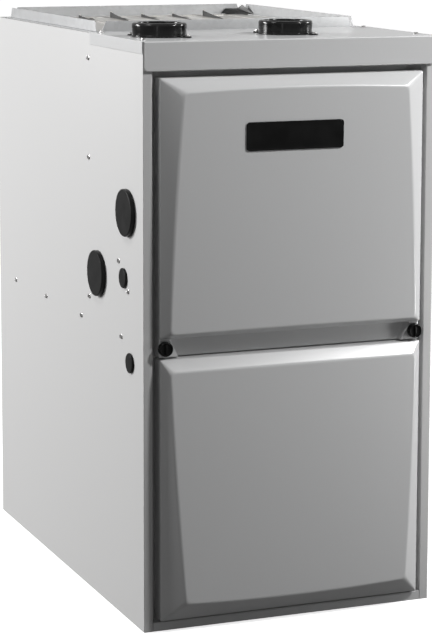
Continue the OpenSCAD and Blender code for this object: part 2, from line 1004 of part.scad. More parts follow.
burner_box_t = 1.2;
spud_r = 6;
venturi_r = 9;
venturi_mouth_r = 13;
venturi_wall = 1.5;
valve_bore_r = spindle_r + spin_clear;
spindle_len = 12;
drum_r = 26;
drum_d = 26;
drum_rise = 148;
drum_at = [60, vest_y - drum_d, deck_z + drum_rise];
port_tube_r = 2.4;
hose_r = 3.2;
nipple_len = 12;
nipple_top = pressure_hose_path[len(pressure_hose_path) - 1];
drain_start = drain_hose_path[0];
drain_end = drain_hose_path[len(drain_hose_path) - 1];
trap_size = [38, 44, 52];
trap_low = [drain_end[0] - trap_size[0] / 2, drain_end[1] - trap_size[1], deck_z];
trap_high = trap_low + trap_size;
stub_socket = 25;
limit_disc_r = 9;
limit_disc_d = 12;
limit_plate = [16, 2, 12];
limit_x = -60;
limit_z = deck_z + 144;
rollout_cap = [8, 9];
rollout_plate = [14, 8, 2];
rollout_inset = 20;
sensor_inset = 12;
sensor_rise = 32;
sensor_body = [10, 30];
sensor_rod = [1.5, 26];
sensor_plate = [9, 2];

module burner_box() {
    low = [-burner_box_x, burner_box_y, burner_box_z];
    high = [burner_box_x, vest_y, burner_box_z + burner_box_h];
    wall = [burner_box_t, burner_box_t, burner_box_t];
    color(galvanised)
        at_front()
            difference() {
                block(low, high);
                block(low + wall, high - wall + [0, burner_box_t + eps, 0]);
                for (i = [0 : cell_count - 1])
                    rod_y([cell_x(i), burner_box_y - eps, burner_z], spud_r + tube_clear,
                          burner_box_t + 2 * eps);
                both_sides()
                    rod_y([burner_box_x - sensor_inset, burner_box_y - eps,
                           burner_z + sensor_rise], spud_r + tube_clear, burner_box_t + 2 * eps);
            }
}

module burner() {
    y0 = burner_box_y + burner_box_t;
    flare = 14;
    port_in = port_r - port_clear;
    len = vest_y + sheet_t - y0;
    collar_len = 6;
    rotate_extrude()
        difference() {
            polygon([[0, 0], [venturi_mouth_r, 0], [venturi_r, flare],
                     [venturi_r, len - flare - collar_len], [port_in, len - collar_len],
                     [port_in, len], [0, len]]);
            polygon([[-eps, -eps], [spud_r + 2, -eps], [venturi_r - venturi_wall, flare],
                     [venturi_r - venturi_wall, len - flare - collar_len],
                     [port_in - venturi_wall, len - collar_len],
                     [port_in - venturi_wall, len + eps], [-eps, len + eps]]);
        }
}

module burners() {
    color(galvanised)
        at_front()
            for (i = [0 : cell_count - 1])
                translate([cell_x(i), burner_box_y + burner_box_t, burner_z])
                    rotate([-90, 0, 0])
                        burner();
}

module gas_manifold() {
    color([0.15, 0.15, 0.15])
        at_front()
            union() {
                rod_x([manifold_x0, manifold_y, burner_z], manifold_r, manifold_x1 - manifold_x0);
                for (i = [0 : cell_count - 1])
                    rod_y([cell_x(i), manifold_y, burner_z], spud_r,
                          burner_box_y + burner_box_t - manifold_y);
                rod_z([manifold_x1, manifold_y, valve_z1], manifold_r, burner_z - valve_z1);
                translate([manifold_x1, manifold_y, burner_z])
                    sphere(r = manifold_r);
            }
}

module gas_valve() {
    inlet_len = 10;
    color([0.55, 0.56, 0.58])
        at_front()
            difference() {
                union() {
                    block([valve_x - valve_w / 2, valve_y0, valve_z0],
                          [valve_x + valve_w / 2, valve_y0 + valve_d, valve_z1]);
                    rod_z([valve_x, manifold_y, valve_z0 - inlet_len], gas_inlet_r + 3,
                          inlet_len);
                    rod_y([valve_x, valve_y0 - spindle_len, gas_knob_z], spindle_r, spindle_len);
                }
                rod_z([valve_x, manifold_y, valve_z0 - inlet_len - eps], gas_inlet_r,
                      2 * inlet_len);
            }
}

module gas_valve_knob() {
    y1 = valve_y0 - part_gap;
    grip_w = 6;
    grip_len = 6;
    color(black_plastic)
        at_front()
            difference() {
                union() {
                    rod_y([valve_x, y1 - gas_knob_h, gas_knob_z], gas_knob_dia / 2, gas_knob_h);
                    block([valve_x - grip_w / 2, y1 - gas_knob_h - grip_len,
                           gas_knob_z - gas_knob_dia / 2 + 1],
                          [valve_x + grip_w / 2, y1 - gas_knob_h,
                           gas_knob_z + gas_knob_dia / 2 - 1]);
                }
                rod_y([valve_x, valve_y0 - spindle_len - part_gap, gas_knob_z], valve_bore_r,
                      spindle_len + part_gap);
            }
}

// A ceramic holder in one of the burner box's end holes, with a rod that reaches the flame
module holder(x) {
    z = burner_z + sensor_rise;
    y0 = burner_box_y - sensor_body[0];
    rod_y([x, y0, z], spud_r, sensor_body[1]);
    rod_y([x, y0 + sensor_body[1], z], sensor_rod[0], sensor_rod[1]);
    block([x - sensor_plate[0], burner_box_y - sensor_plate[1], z - sensor_plate[0]],
          [x + sensor_plate[0], burner_box_y, z + sensor_plate[0]]);
}

module igniter() {
    color("white")
        at_front()
            holder(-(burner_box_x - sensor_inset));
}

module flame_sensor() {
    color("white")
        at_front()
            holder(burner_box_x - sensor_inset);
}

module limit_switch() {
    color(black_plastic)
        at_front()
            union() {
                block([limit_x - limit_plate[0], vest_y - limit_plate[1], limit_z - limit_plate[2]],
                      [limit_x + limit_plate[0], vest_y, limit_z + limit_plate[2]]);
                rod_y([limit_x, vest_y - limit_disc_d, limit_z], limit_disc_r, limit_disc_d);
            }
}

module rollout_switches() {
    x = burner_box_x - rollout_inset;
    y = (burner_box_y + vest_y) / 2;
    z = burner_box_z + burner_box_h;
    color(black_plastic)
        at_front()
            both_sides()
                union() {
                    rod_z([x, y, z], rollout_cap[0], rollout_cap[1]);
                    block([x - rollout_plate[0], y - rollout_plate[1], z],
                          [x + rollout_plate[0], y + rollout_plate[1], z + rollout_plate[2]]);
                }
}

module collector_box() {
    wall = 3;
    mouth_r = 24;
    drain_r = 3;
    low = [collector_x0, collector_y, collector_z0];
    high = [collector_x1, vest_y - tube_end - part_gap, collector_z1];
    color(black_plastic)
        at_front()
            difference() {
                union() {
                    block(low, [collector_x1, vest_y, collector_z1]);
                    rod_x([collector_x1, drain_start[1], drain_start[2]], hose_r,
                          drain_start[0] - collector_x1);
                }
                block(low + [wall, wall, wall], [collector_x1 - wall, vest_y + eps,
                                                 collector_z1 - wall]);
                rod_y([-inducer_x, collector_y - eps, inducer_z], mouth_r, wall + 2 * eps);
            }
}

module inducer_housing() {
    stub_x = -exhaust_x;
    neck = 30;
    mouth_r = 24;
    inner_r = inducer_r - inducer_t;
    floor_h = 10;
    color(black_plastic)
        at_front()
            difference() {
                union() {
                    rod_y([-inducer_x, inducer_y0, inducer_z], inducer_r, inducer_d);
                    rod_y([-inducer_x, inducer_y1, inducer_z], neck, collector_y - inducer_y1);
                    rod_z([stub_x, collar_y, inducer_z], neck_r, stub_top - inducer_z);
                    rod_z([nipple_top[0], collar_y, inducer_z + inducer_r / 2], port_tube_r,
                          nipple_top[2] - inducer_z - inducer_r / 2);
                }
                rod_y([-inducer_x, inducer_y0 + inducer_t, inducer_z], inner_r,
                      inducer_d - 2 * inducer_t);
                rod_y([-inducer_x, inducer_y1 - inducer_t - eps, inducer_z], mouth_r,
                      collector_y - inducer_y1 + inducer_t + 2 * eps);
                rod_y([-inducer_x, inducer_y0 - eps, inducer_z], inducer_shaft_r + 1,
                      inducer_t + 2 * eps);
                rod_z([stub_x, collar_y, inducer_z + floor_h], stop_r,
                      stub_top - inducer_z - floor_h + eps);
                rod_z([stub_x, collar_y, stub_top - stub_socket], socket_r, stub_socket + eps);
            }
}

module inducer_motor() {
    shaft_room = inducer_shaft_in + shaft_end_gap;
    color([0.3, 0.3, 0.32])
        at_front()
            difference() {
                rod_y([-inducer_x, inducer_y0 - inducer_motor_d, inducer_z], inducer_motor_r,
                      inducer_motor_d);
                rod_y([-inducer_x, inducer_y0 - shaft_room, inducer_z],
                      inducer_shaft_r + spin_clear,
                      shaft_room + eps);
            }
}

fan_gap = 10;
fan_disc_t = 2;
fan_hub_wall = 5;
fan_hub_len = 14;
fan_vane_count = 10;
fan_vane_h = 24;
fan_vane_half = 1;
inducer_shaft_in = 34;

module inducer_wheel() {
    disc_y = inducer_y0 + fan_gap;
    hub_r = inducer_shaft_r + fan_hub_wall;
    shaft_y = inducer_y0 - inducer_shaft_in;
    color([0.3, 0.3, 0.32])
        at_front()
            translate([-inducer_x, 0, inducer_z])
                union() {
                    rod_y([0, disc_y, 0], fan_r, fan_disc_t);
                    rod_y([0, shaft_y, 0], inducer_shaft_r, disc_y + fan_hub_len - shaft_y);
                    rod_y([0, disc_y, 0], hub_r, fan_hub_len);
                    for (i = [0 : fan_vane_count - 1])
                        rotate([0, 360 * i / fan_vane_count, 0])
                            block([inducer_shaft_r, disc_y, -fan_vane_half],
                                  [fan_r - fan_vane_half, disc_y + fan_disc_t + fan_vane_h,
                                   fan_vane_half]);
                }
}

module pressure_switch() {
    start = pressure_hose_path[0];
    color(black_plastic)
        at_front()
            union() {
                rod_y(drum_at, drum_r, drum_d);
                rod_y([drum_at[0], start[1], drum_at[2]], port_tube_r, drum_at[1] - start[1]);
            }
}

module pressure_hose() {
    color([0.1, 0.1, 0.1])
        at_front()
            swept_tube(pressure_hose_path, hose_r, 8, [1, 0, 0]);
}

module drain_hose() {
    color([0.1, 0.1, 0.1])
        at_front()
            swept_tube(drain_hose_path, hose_r, 8, [0, 0, 1]);
}

module condensate_trap() {
    outlet_r = 8;
    outlet_len = 14;
    color(black_plastic)
        at_front()
            difference() {
                union() {
                    block(trap_low, trap_high);
                    rod_x([trap_high[0], trap_low[1] + 16, trap_low[2] + 16], outlet_r,
                          outlet_len);
                }
                rod_x([trap_high[0] - outlet_len, trap_low[1] + 16, trap_low[2] + 16],
                      outlet_r - 2, 2 * outlet_len + eps);
            }
}

module exhaust_pipe() {
    z0 = stub_top - stub_socket;
    z1 = cab_h + collar_rise - socket_depth - stop_h;
    color("white")
        at_front()
            difference() {
                rod_z([-exhaust_x, collar_y, z0], pipe_r, z1 - z0);
                rod_z([-exhaust_x, collar_y, z0 - eps], stop_r, z1 - z0 + 2 * eps);
            }
}

junction_low = [50, 465];
junction_high = [113, 527];
junction_depth = 22;

module junction_box() {
    wall = burner_box_t;
    low = [-wall_in, junction_low[0], junction_low[1]];
    high = [-wall_in + junction_depth, junction_high[0], junction_high[1]];
    plug = plugs[2];
    color(galvanised)
        at_front()
            difference() {
                block(low, high);
                block(low + [wall, wall, wall], high - [wall, wall, wall]);
                rod_x([low[0] - eps, plug[0], plug[1]], plug[3] + plug_clear, wall + 2 * eps);
                for (s = box_screws)
                    rod_x([low[0] - eps, s[0], s[1]], screw_dia / 2 + screw_clear,
                          wall + 2 * eps);
            }
}

// ---- Blower ----

function scroll_radius(a) =
    cutoff_r + (scroll_max - cutoff_r) * (a - cutoff_angle) / (360 - cutoff_angle);

// Outline of the scroll and its outlet, with the wall taken off for the inside
module scroll_outline(t, top) {
    spiral = [
        for (i = [0 : scroll_steps])
            let (a = cutoff_angle + (360 - cutoff_angle) * i / scroll_steps,
                 r = scroll_radius(a) - t)
                [r * cos(a), r * sin(a)]
    ];
    nose = cutoff_r * cos(cutoff_angle) + t;
    polygon(concat(spiral, [[scroll_max - t, top], [nose, top]]));
}

// Lays a drawing of the blower's side, seen towards +X, and extrudes it across the cabinet
module drawn_along(x0, len) {
    translate([x0, wheel_y, wheel_z])
        rotate([90, 0, 90])
            linear_extrude(height = len)
                children();
}

module blower_housing() {
    top = deck_low - wheel_z;
    color(galvanised)
        at_front()
            difference() {
                drawn_along(-scroll_half, scroll_w)
                    scroll_outline(0, top);
                drawn_along(-scroll_half + scroll_t, scroll_w - 2 * scroll_t)
                    scroll_outline(scroll_t, top + eps);
                rod_x([-scroll_half - eps, wheel_y, wheel_z], inlet_r, scroll_w + 2 * eps);
            }
}

module blower_wheel() {
    ring_t = 3;
    blade_t = 1.2;
    disc_t = 3;
    outer = wheel_dia / 2;
    hub_r = shaft_r + 9;
    color([0.6, 0.6, 0.62])
        at_front()
            translate([0, wheel_y, wheel_z])
                difference() {
                    union() {
                        for (x = [-wheel_w / 2, wheel_w / 2 - ring_t])
                            difference() {
                                rod_x([x, 0, 0], outer, ring_t);
                                rod_x([x - eps, 0, 0], outer - ring_w, ring_t + 2 * eps);
                            }
                        rod_x([disc_x, 0, 0], outer - 1, disc_t);
                        rod_x([hub_x0, 0, 0], hub_r, hub_x1 - hub_x0);
                        for (i = [0 : blade_count - 1])
                            rotate([360 * i / blade_count, 0, 0])
                                translate([0, outer - ring_w / 2, 0])
                                    rotate([40, 0, 0])
                                        block([-wheel_w / 2 + 1, -ring_w / 2 - 1, -blade_t / 2],
                                              [wheel_w / 2 - 1, ring_w / 2 - 1, blade_t / 2]);
                    }
                    rod_x([hub_x0 - eps, 0, 0], shaft_r + seat_clear, hub_x1 - hub_x0 + 2 * eps);
                }
}

shaft_x0 = -wheel_w / 2;
shaft_out = 4;
motor_out = 12;
motor_wall = 10;
motor_vent_r = 14;
band_t = 3;
band_w = 8;
arm_t = 3;
arm_w = 14;
arm_angles = [30, 150, 270];

module blower_shaft() {
    color("silver")
        at_front()
            rod_x([shaft_x0, wheel_y, wheel_z], shaft_r, hub_x1 + shaft_out - shaft_x0);
}

module rotate_about_axle(a) {
    translate([0, wheel_y, wheel_z])
        rotate([a, 0, 0])
            children();
}

module blower_motor() {
    color([0.25, 0.25, 0.27])
        at_front()
            difference() {
                rod_x([motor_x0 - motor_out, wheel_y, wheel_z], motor_dia / 2,
                      motor_x1 - motor_x0 + motor_out);
                rod_x([shaft_x0 - shaft_end_gap, wheel_y, wheel_z], shaft_r + spin_clear,
                      motor_x1 + eps - shaft_x0 + shaft_end_gap);
                for (a = [0 : 60 : 300])
                    rotate_about_axle(a)
                        rod_x([motor_x0 - motor_out - eps, 0, motor_dia / 4 + shaft_r / 2],
                              motor_vent_r, motor_x1 - motor_x0 + motor_out - motor_wall);
            }
}

module motor_mount() {
    arm_reach = inlet_r + arm_w;
    color(galvanised)
        at_front()
            translate([0, wheel_y, wheel_z])
                difference() {
                    union() {
                        rod_x([-scroll_half - band_w, 0, 0], motor_dia / 2 + band_t, band_w);
                        for (a = arm_angles)
                            rotate([a, 0, 0])
                                block([-scroll_half - arm_t, 0, -arm_w / 2],
                                      [-scroll_half, arm_reach, arm_w / 2]);
                    }
                    rod_x([-scroll_half - band_w - eps, 0, 0], motor_dia / 2 + seat_clear,
                          band_w + 2 * eps);
                }
}

module control_tray() {
    color(galvanised)
        at_front()
            union() {
                block([-tray_x, tray_y, tray_z0], [tray_x, tray_y + tray_t, deck_low]);
                block([-tray_x, tray_y, deck_low - tray_t], [tray_x, tray_y + tray_lip, deck_low]);
                both_sides()
                    block([tray_x - tray_t, tray_y, tray_z0],
                          [tray_x, tray_y + tray_lip, deck_low]);
                block([switch_x - switch_half, switch_y0 + switch_d, switch_z - switch_half],
                      [switch_x + switch_half, tray_y, switch_z + switch_half]);
            }
}

module control_board() {
    color([0.1, 0.3, 0.15])
        at_front()
            union() {
                block([board_x0, board_y, board_z0],
                      [board_x0 + board_w, board_y + board_t, board_z0 + board_h]);
                for (dx = [post_inset, board_w - post_inset])
                    for (dz = [post_inset, board_h - post_inset])
                        rod_y([board_x0 + dx, board_y, board_z0 + dz], post_r, tray_y - board_y);
                for (i = [0 : relay_count - 1])
                    translate([board_x0 + relay_first[0] + i * relay_pitch, board_y - relay[1],
                               board_z0 + relay_first[1]])
                        cube(relay);
                translate([board_x0 + terminal_first[0], board_y - terminal[1],
                           board_z0 + terminal_first[1]])
                    cube(terminal);
            }
}

module transformer() {
    color([0.3, 0.3, 0.32])
        at_front()
            union() {
                block([core_x, tray_y - core[1], core_z],
                      [core_x + core[0], tray_y, core_z + core[2]]);
                block([core_x - core_foot, tray_y - core_foot_t, core_z],
                      [core_x + core[0] + core_foot, tray_y, core_z + core[2]]);
            }
}

module door_switch() {
    color(black_plastic)
        at_front()
            difference() {
                block([switch_x - switch_half, switch_y0, switch_z - switch_half],
                      [switch_x + switch_half, switch_y0 + switch_d, switch_z + switch_half]);
                rod_y([switch_x, switch_y0 - eps, switch_z], plunger_r + spin_clear, bore_depth);
            }
}

module door_switch_plunger() {
    color("white")
        at_front()
            rod_y([switch_x, plunger_tip, switch_z], plunger_r,
                  switch_y0 + bore_depth - switch_travel - plunger_end_gap - plunger_tip);
}

// ---- Doors ----

// Half width of the ridge at a share s of the way from the seam to the far end of a door
function ridge_half(s, inset) =
    door_half - inset - ridge_near - (ridge_far - ridge_near) * pow(s, ridge_curve);

// Points of the ridge, as x, distance in front of the stiles and height
function ridge_side(dir, z_near, z_far, p_near, p_far, inset) = [
    for (i = [0 : ridge_steps])
        let (s = i / ridge_steps)
            [dir * ridge_half(s, inset), p_near + (p_far - p_near) * s,
             z_near + (z_far - z_near) * s]
];

function ridge_end(z_far, rise, p_far, slope, inset) = [
    for (i = [1 : ridge_steps - 1])
        let (u = -1 + 2 * i / ridge_steps, lift = rise * (1 - u * u))
            [u * ridge_half(1, inset), p_far + slope * lift, z_far + lift]
];

// A door's raised body: a box behind the ridge, drawn together into one smooth shell
module door_mass(z0, z1, z_near, z_far, p_near, p_far, rise, inset) {
    slope = (p_far - p_near) / (z_far - z_near);
    face = concat(ridge_side(-1, z_near, z_far, p_near, p_far, inset),
                  ridge_end(z_far, rise, p_far, slope, inset),
                  ridge_side(1, z_near, z_far, p_near, p_far, inset));
    thin = 0.4;
    half = door_half - inset;
    hull() {
        for (q = face)
            translate([q[0], -q[1] + inset, q[2]])
                cube([thin / 10, thin, thin / 10]);
        block([-half, -edge_proud + inset, z0 + inset], [half, -edge_proud + inset + thin,
                                                         z1 - inset]);
    }
    block([-half, -edge_proud + inset, z0 + inset],
          [half, door_back + (inset > 0 ? eps : 0), z1 - inset]);
}

upper_near_z = band_z1 + upper_foot_bevel;
upper_far_z = upper_z1 - upper_top_bevel;
lower_near_z = lower_z1 - lower_top_bevel;
lower_far_z = lower_z0 + lower_foot_bevel;

module upper_mass(inset) {
    door_mass(band_z1, upper_z1, upper_near_z, upper_far_z, upper_foot_proud, upper_top_proud,
              ridge_arch, inset);
}

module upper_door() {
    half = door_half - door_t;
    color(paint_front)
        at_front()
            difference() {
                union() {
                    upper_mass(0);
                    block([-door_half, -band_proud, upper_z0], [door_half, door_back, band_z1]);
                }
                upper_mass(door_t);
                block([-half, -band_proud + door_t, upper_z0 + door_t],
                      [half, door_back + eps, band_z1 + 2 * door_t]);
                both_sides()
                    rod_y([knob_x, -band_proud - eps, knob_z], stud_r + spin_clear,
                          door_t + 2 * eps);
            }
}

module lower_door() {
    color(paint_front)
        at_front()
            difference() {
                door_mass(lower_z0, lower_z1, lower_near_z, lower_far_z, lower_top_proud,
                          lower_foot_proud, -ridge_arch, 0);
                door_mass(lower_z0, lower_z1, lower_near_z, lower_far_z, lower_top_proud,
                          lower_foot_proud, -ridge_arch, door_t);
            }
}

module lower_door_liner() {
    half = door_half - door_t;
    color([0.85, 0.8, 0.6])
        at_front()
            block([-half, door_back - liner_t, lower_z0 + door_t],
                  [half, door_back, lower_z1 - door_t]);
}

module badge_plate() {
    z_share = (badge_z - upper_near_z) / (upper_far_z - upper_near_z);
    proud = upper_foot_proud + (upper_top_proud - upper_foot_proud) * z_share;
    tilt = atan2(upper_top_proud - upper_foot_proud, upper_far_z - upper_near_z);
    color(black_plastic)
        at_front()
            translate([badge_x, -proud, badge_z])
                rotate([90 + tilt, 0, 0])
                    linear_extrude(height = badge_t)
                        round_rect(badge_w, badge_h, badge_r);
}

module door_knob(dir) {
    ring_w = 2.5;
    dish = 2;
    color(black_plastic)
        at_front()
            difference() {
                union() {
                    rod_y([dir * knob_x, -band_proud - part_gap - knob_h, knob_z], knob_dia / 2,
                          knob_h);
                    rod_y([dir * knob_x, -band_proud - part_gap, knob_z], stud_r,
                          stud_end + band_proud + part_gap);
                }
                rod_y([dir * knob_x, -band_proud - part_gap - knob_h - eps, knob_z],
                      knob_dia / 2 - ring_w, dish);
            }
}

module left_knob() {
    door_knob(-1);
}

module right_knob() {
    door_knob(1);
}

cabinet_wrapper();
base_pan();
blower_deck();
door_rail();
top_cap();
supply_flange_front();
supply_flange_rear();
supply_flange_left();
supply_flange_right();
vest_panel();
exhaust_collar();
intake_collar();
knockout_plugs();
cabinet_screws();
heat_exchanger_cell_1();
heat_exchanger_cell_2();
heat_exchanger_cell_3();
heat_exchanger_cell_4();
heat_exchanger_cell_5();
heat_exchanger_cell_6();
hot_header();
coil_fins();
coil_tubes();
collector_box();
burner_box();
burners();
gas_manifold();
gas_valve();
gas_valve_knob();
igniter();
flame_sensor();
limit_switch();
rollout_switches();
inducer_housing();
inducer_motor();
inducer_wheel();
pressure_switch();
pressure_hose();
condensate_trap();
drain_hose();
exhaust_pipe();
junction_box();
blower_housing();
blower_wheel();
blower_shaft();
blower_motor();
motor_mount();
control_tray();
control_board();
transformer();
door_switch();
door_switch_plunger();
upper_door();
lower_door();
lower_door_liner();
badge_plate();
left_knob();
right_knob();
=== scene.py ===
"""Looks of a forced air gas furnace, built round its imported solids.

Sizes are in millimetres, as in the solids' own source: x from the middle, y behind the cabinet's
front plane, z above the floor. at() turns such a point into the shared frame's metres.
"""

import math

import bmesh
import bpy
from mathutils import Euler, Matrix, Vector


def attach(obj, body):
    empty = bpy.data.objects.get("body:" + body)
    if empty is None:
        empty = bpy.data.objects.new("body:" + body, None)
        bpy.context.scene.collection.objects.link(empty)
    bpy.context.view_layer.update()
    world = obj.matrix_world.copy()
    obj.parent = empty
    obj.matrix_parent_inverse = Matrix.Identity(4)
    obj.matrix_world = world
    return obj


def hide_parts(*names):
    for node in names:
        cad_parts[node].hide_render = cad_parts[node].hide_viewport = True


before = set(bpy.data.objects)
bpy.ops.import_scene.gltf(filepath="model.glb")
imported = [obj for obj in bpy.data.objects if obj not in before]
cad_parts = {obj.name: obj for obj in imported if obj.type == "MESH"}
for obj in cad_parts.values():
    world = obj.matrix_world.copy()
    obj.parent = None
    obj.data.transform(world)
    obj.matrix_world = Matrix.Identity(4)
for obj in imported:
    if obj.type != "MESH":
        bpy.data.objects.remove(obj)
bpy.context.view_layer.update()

MM = 0.001
FRONT = -334.5  # y of the cabinet's front plane in the shared frame
HERE = (0, -FRONT, 0)  # the shared frame's origin, in the cabinet's own measure
FORWARD = (0, -1, 0)
scene = bpy.context.scene

# Cabinet
HALF_W = 222.5
DEPTH = 700
TOP = 831
WALL_IN = 221.5
STILE_IN = 208.5

# Doors
DOOR_HALF = 200
DOOR_BACK = 16.7
DOOR_SHEET = 1.2
DOOR_CORNER = 2.2
SHEET_FOLD = 1.8
CREST_FOLD = 3.2
CREST_HALF = 188
CREST_TAPER = 18
CREST_ARCH = 5
UPPER_RIDGE = (426, 761, 17, 23)
LOWER_RIDGE = (373, 44.5, 18, 31)
EDGE_PROUD = 6
BAND_PROUD = 2
UPPER = (392, 781)
BAND_TOP = 419
RECESS_LOW = 392
RECESS_HALF = (171, 188)  # at its lower and its upper edge
LOWER = (15.5, 390)
KNOB_X = 192
KNOB_Z = 405

# Collars and plugs
COLLAR_Y = 99
COLLAR_X = {"exhaust_collar": -162, "intake_collar": 31}
FLUE = (COLLAR_X["exhaust_collar"], COLLAR_Y, 0)
EAR_REACH = 48
EAR_WAY = 125  # degrees from the right, seen from above
SOCKET_R = 30.3
PLUGS = (  # y, z, radius and height of each cap
    (64, 588.5, 33.5, 7), (191, 483.5, 33.5, 7), (79.5, 493.5, 14.3, 3.5), (52.5, 376.5, 14.3, 3.5),
)

# Blower and burners
WHEEL_Y = 400
WHEEL_Z = 205
CELL_PITCH = 54.5
CELL_COUNT = 6
FIRST_CELL = -(CELL_COUNT - 1) / 2 * CELL_PITCH
BURNER_Z = 721
INDUCER_X = -100
INDUCER_Z = 500

# Badge
BADGE_HALF = (73.5, 20)
BADGE_AT = (-5, -21.87, 698)
BADGE_LIFT = (6, 335)  # how far the upper door's face comes forward, over which height

# Studio, in metres and degrees
MIRRORED_WORLD = 0.5  # how bright the room is in a mirror
FLOOR_HALF = 60
FLOOR_Z = -0.0004
GLOW_REACH = (0.5, 2.5)  # the floor's own light grows between these distances
GLOW = (0.72, 1.0)
FLOOR_GREY = 0.12
LENS = 128.3
SENSOR = 36
SHIFT_UP = -0.17
CAMERA_AT = (-1.274, -3.2485, 1.027)
CAMERA_TURN = (82.13, 0, -21.69)
CAMERA_ROLL = 0.12
LAMPS_AIM = (0, 0, 0.45)
LAMPS = (  # name, azimuth, elevation, distance, width, watts and height if it isn't square
    ("key_front", 41.8, 37.1, 2.07, 0.15, 30),
    ("strip_above", 0, 40, 1.6, 2.2, 1.2, 0.06),
    ("strip_left", -30, 10, 1.6, 0.06, 1.0, 1.6),
    ("low_right", 45, -8, 1.0, 0.2, 1.5),
    ("far_right", 82, 25, 2.0, 0.3, 20),
    ("near_left", -60, 50, 1.1, 0.2, 2.0),
    ("wall_left", -125, 22, 4, 0.8, 118),
    ("wall_front", -115, 12, 4, 0.8, 85),
)


def at(x, y, z):
    """A point of the cabinet, in millimetres, as a point of the shared frame, in metres."""
    return Vector((x * MM, (y + FRONT) * MM, z * MM))


# ---- Finishes ----


NOISE = "ShaderNodeTexNoise"
CELLS = "ShaderNodeTexVoronoi"
SMOOTH = (1, 1, 1)


def fill(tree, node, inputs):
    """Joins each named input of a node to a socket, or sets it to a value."""
    for key, value in inputs.items():
        if isinstance(value, bpy.types.NodeSocket):
            tree.links.new(value, node.inputs[key])
        else:
            node.inputs[key].default_value = value


def add(tree, kind, inputs=None, **settings):
    """A new node with its settings and its inputs."""
    node = tree.nodes.new(kind)
    for key, value in settings.items():
        setattr(node, key, value)
    fill(tree, node, inputs or {})
    return node


def texture(tree, place, kind, scale, stretch):
    """A pattern's value, read from the piece's own place."""
    mapping = add(tree, "ShaderNodeMapping", {"Scale": stretch, "Vector": place})
    node = add(tree, kind, {"Scale": scale, "Vector": mapping.outputs["Vector"]})
    return node.outputs["Color" if kind == CELLS else 0]


def spread(tree, value, low, high, to_low, to_high):
    """A pattern's value, moved from one range to another."""
    ends = {"From Min": low, "From Max": high, "To Min": to_low, "To Max": to_high}
    return add(tree, "ShaderNodeMapRange", {"Value": value, **ends}).outputs["Result"]


def finish(name, dark, light, rough, tone, relief, metal=0.0, coat=0.0, sheen=0.0, shine=0.5,
           extra_relief=None):
    """A material: two tones mixed by a pattern, a roughness that varies with it, and a fine relief.

    tone is (pattern, scale, stretch, low, high) and relief is (pattern, scale, stretch, depth in mm).
    """
    material = bpy.data.materials.new(name)
    material.use_nodes = True
    tree = material.node_tree
    place = add(tree, "ShaderNodeTexCoord").outputs["Object"]
    kind, scale, stretch, low, high = tone
    pattern = spread(tree, texture(tree, place, kind, scale, stretch), low, high, 0, 1)
    mix = add(tree, "ShaderNodeMix", {"Factor": pattern, "A": (*dark, 1), "B": (*light, 1)}, data_type="RGBA")
    below = {}
    for kind, scale, stretch, depth in filter(None, (relief, extra_relief)):
        height = texture(tree, place, kind, scale, stretch)
        bump = add(tree, "ShaderNodeBump", {"Strength": 1, "Distance": depth * MM, "Height": height, **below})
        below = {"Normal": bump.outputs["Normal"]}
    fill(tree, tree.nodes["Principled BSDF"], {
        "Base Color": mix.outputs["Result"], "Roughness": spread(tree, pattern, 0, 1, *rough), **below,
        "Metallic": metal, "Specular IOR Level": shine, "Coat Weight": coat, "Coat Roughness": 0.08,
        "Sheen Weight": sheen,
    })
    return material


def grey(value, warm=0.0):
    """A grey, a little warmer or colder."""
    return (value * (1 + warm), value, value * (1 - warm))


def grain(scale, stretch=SMOOTH, low=0.35, high=0.65):
    """Soft clouds of tone."""
    return (NOISE, scale, stretch, low, high)


def bumps(scale, depth, stretch=SMOOTH):
    """A fine soft relief."""
    return (NOISE, scale, stretch, depth)


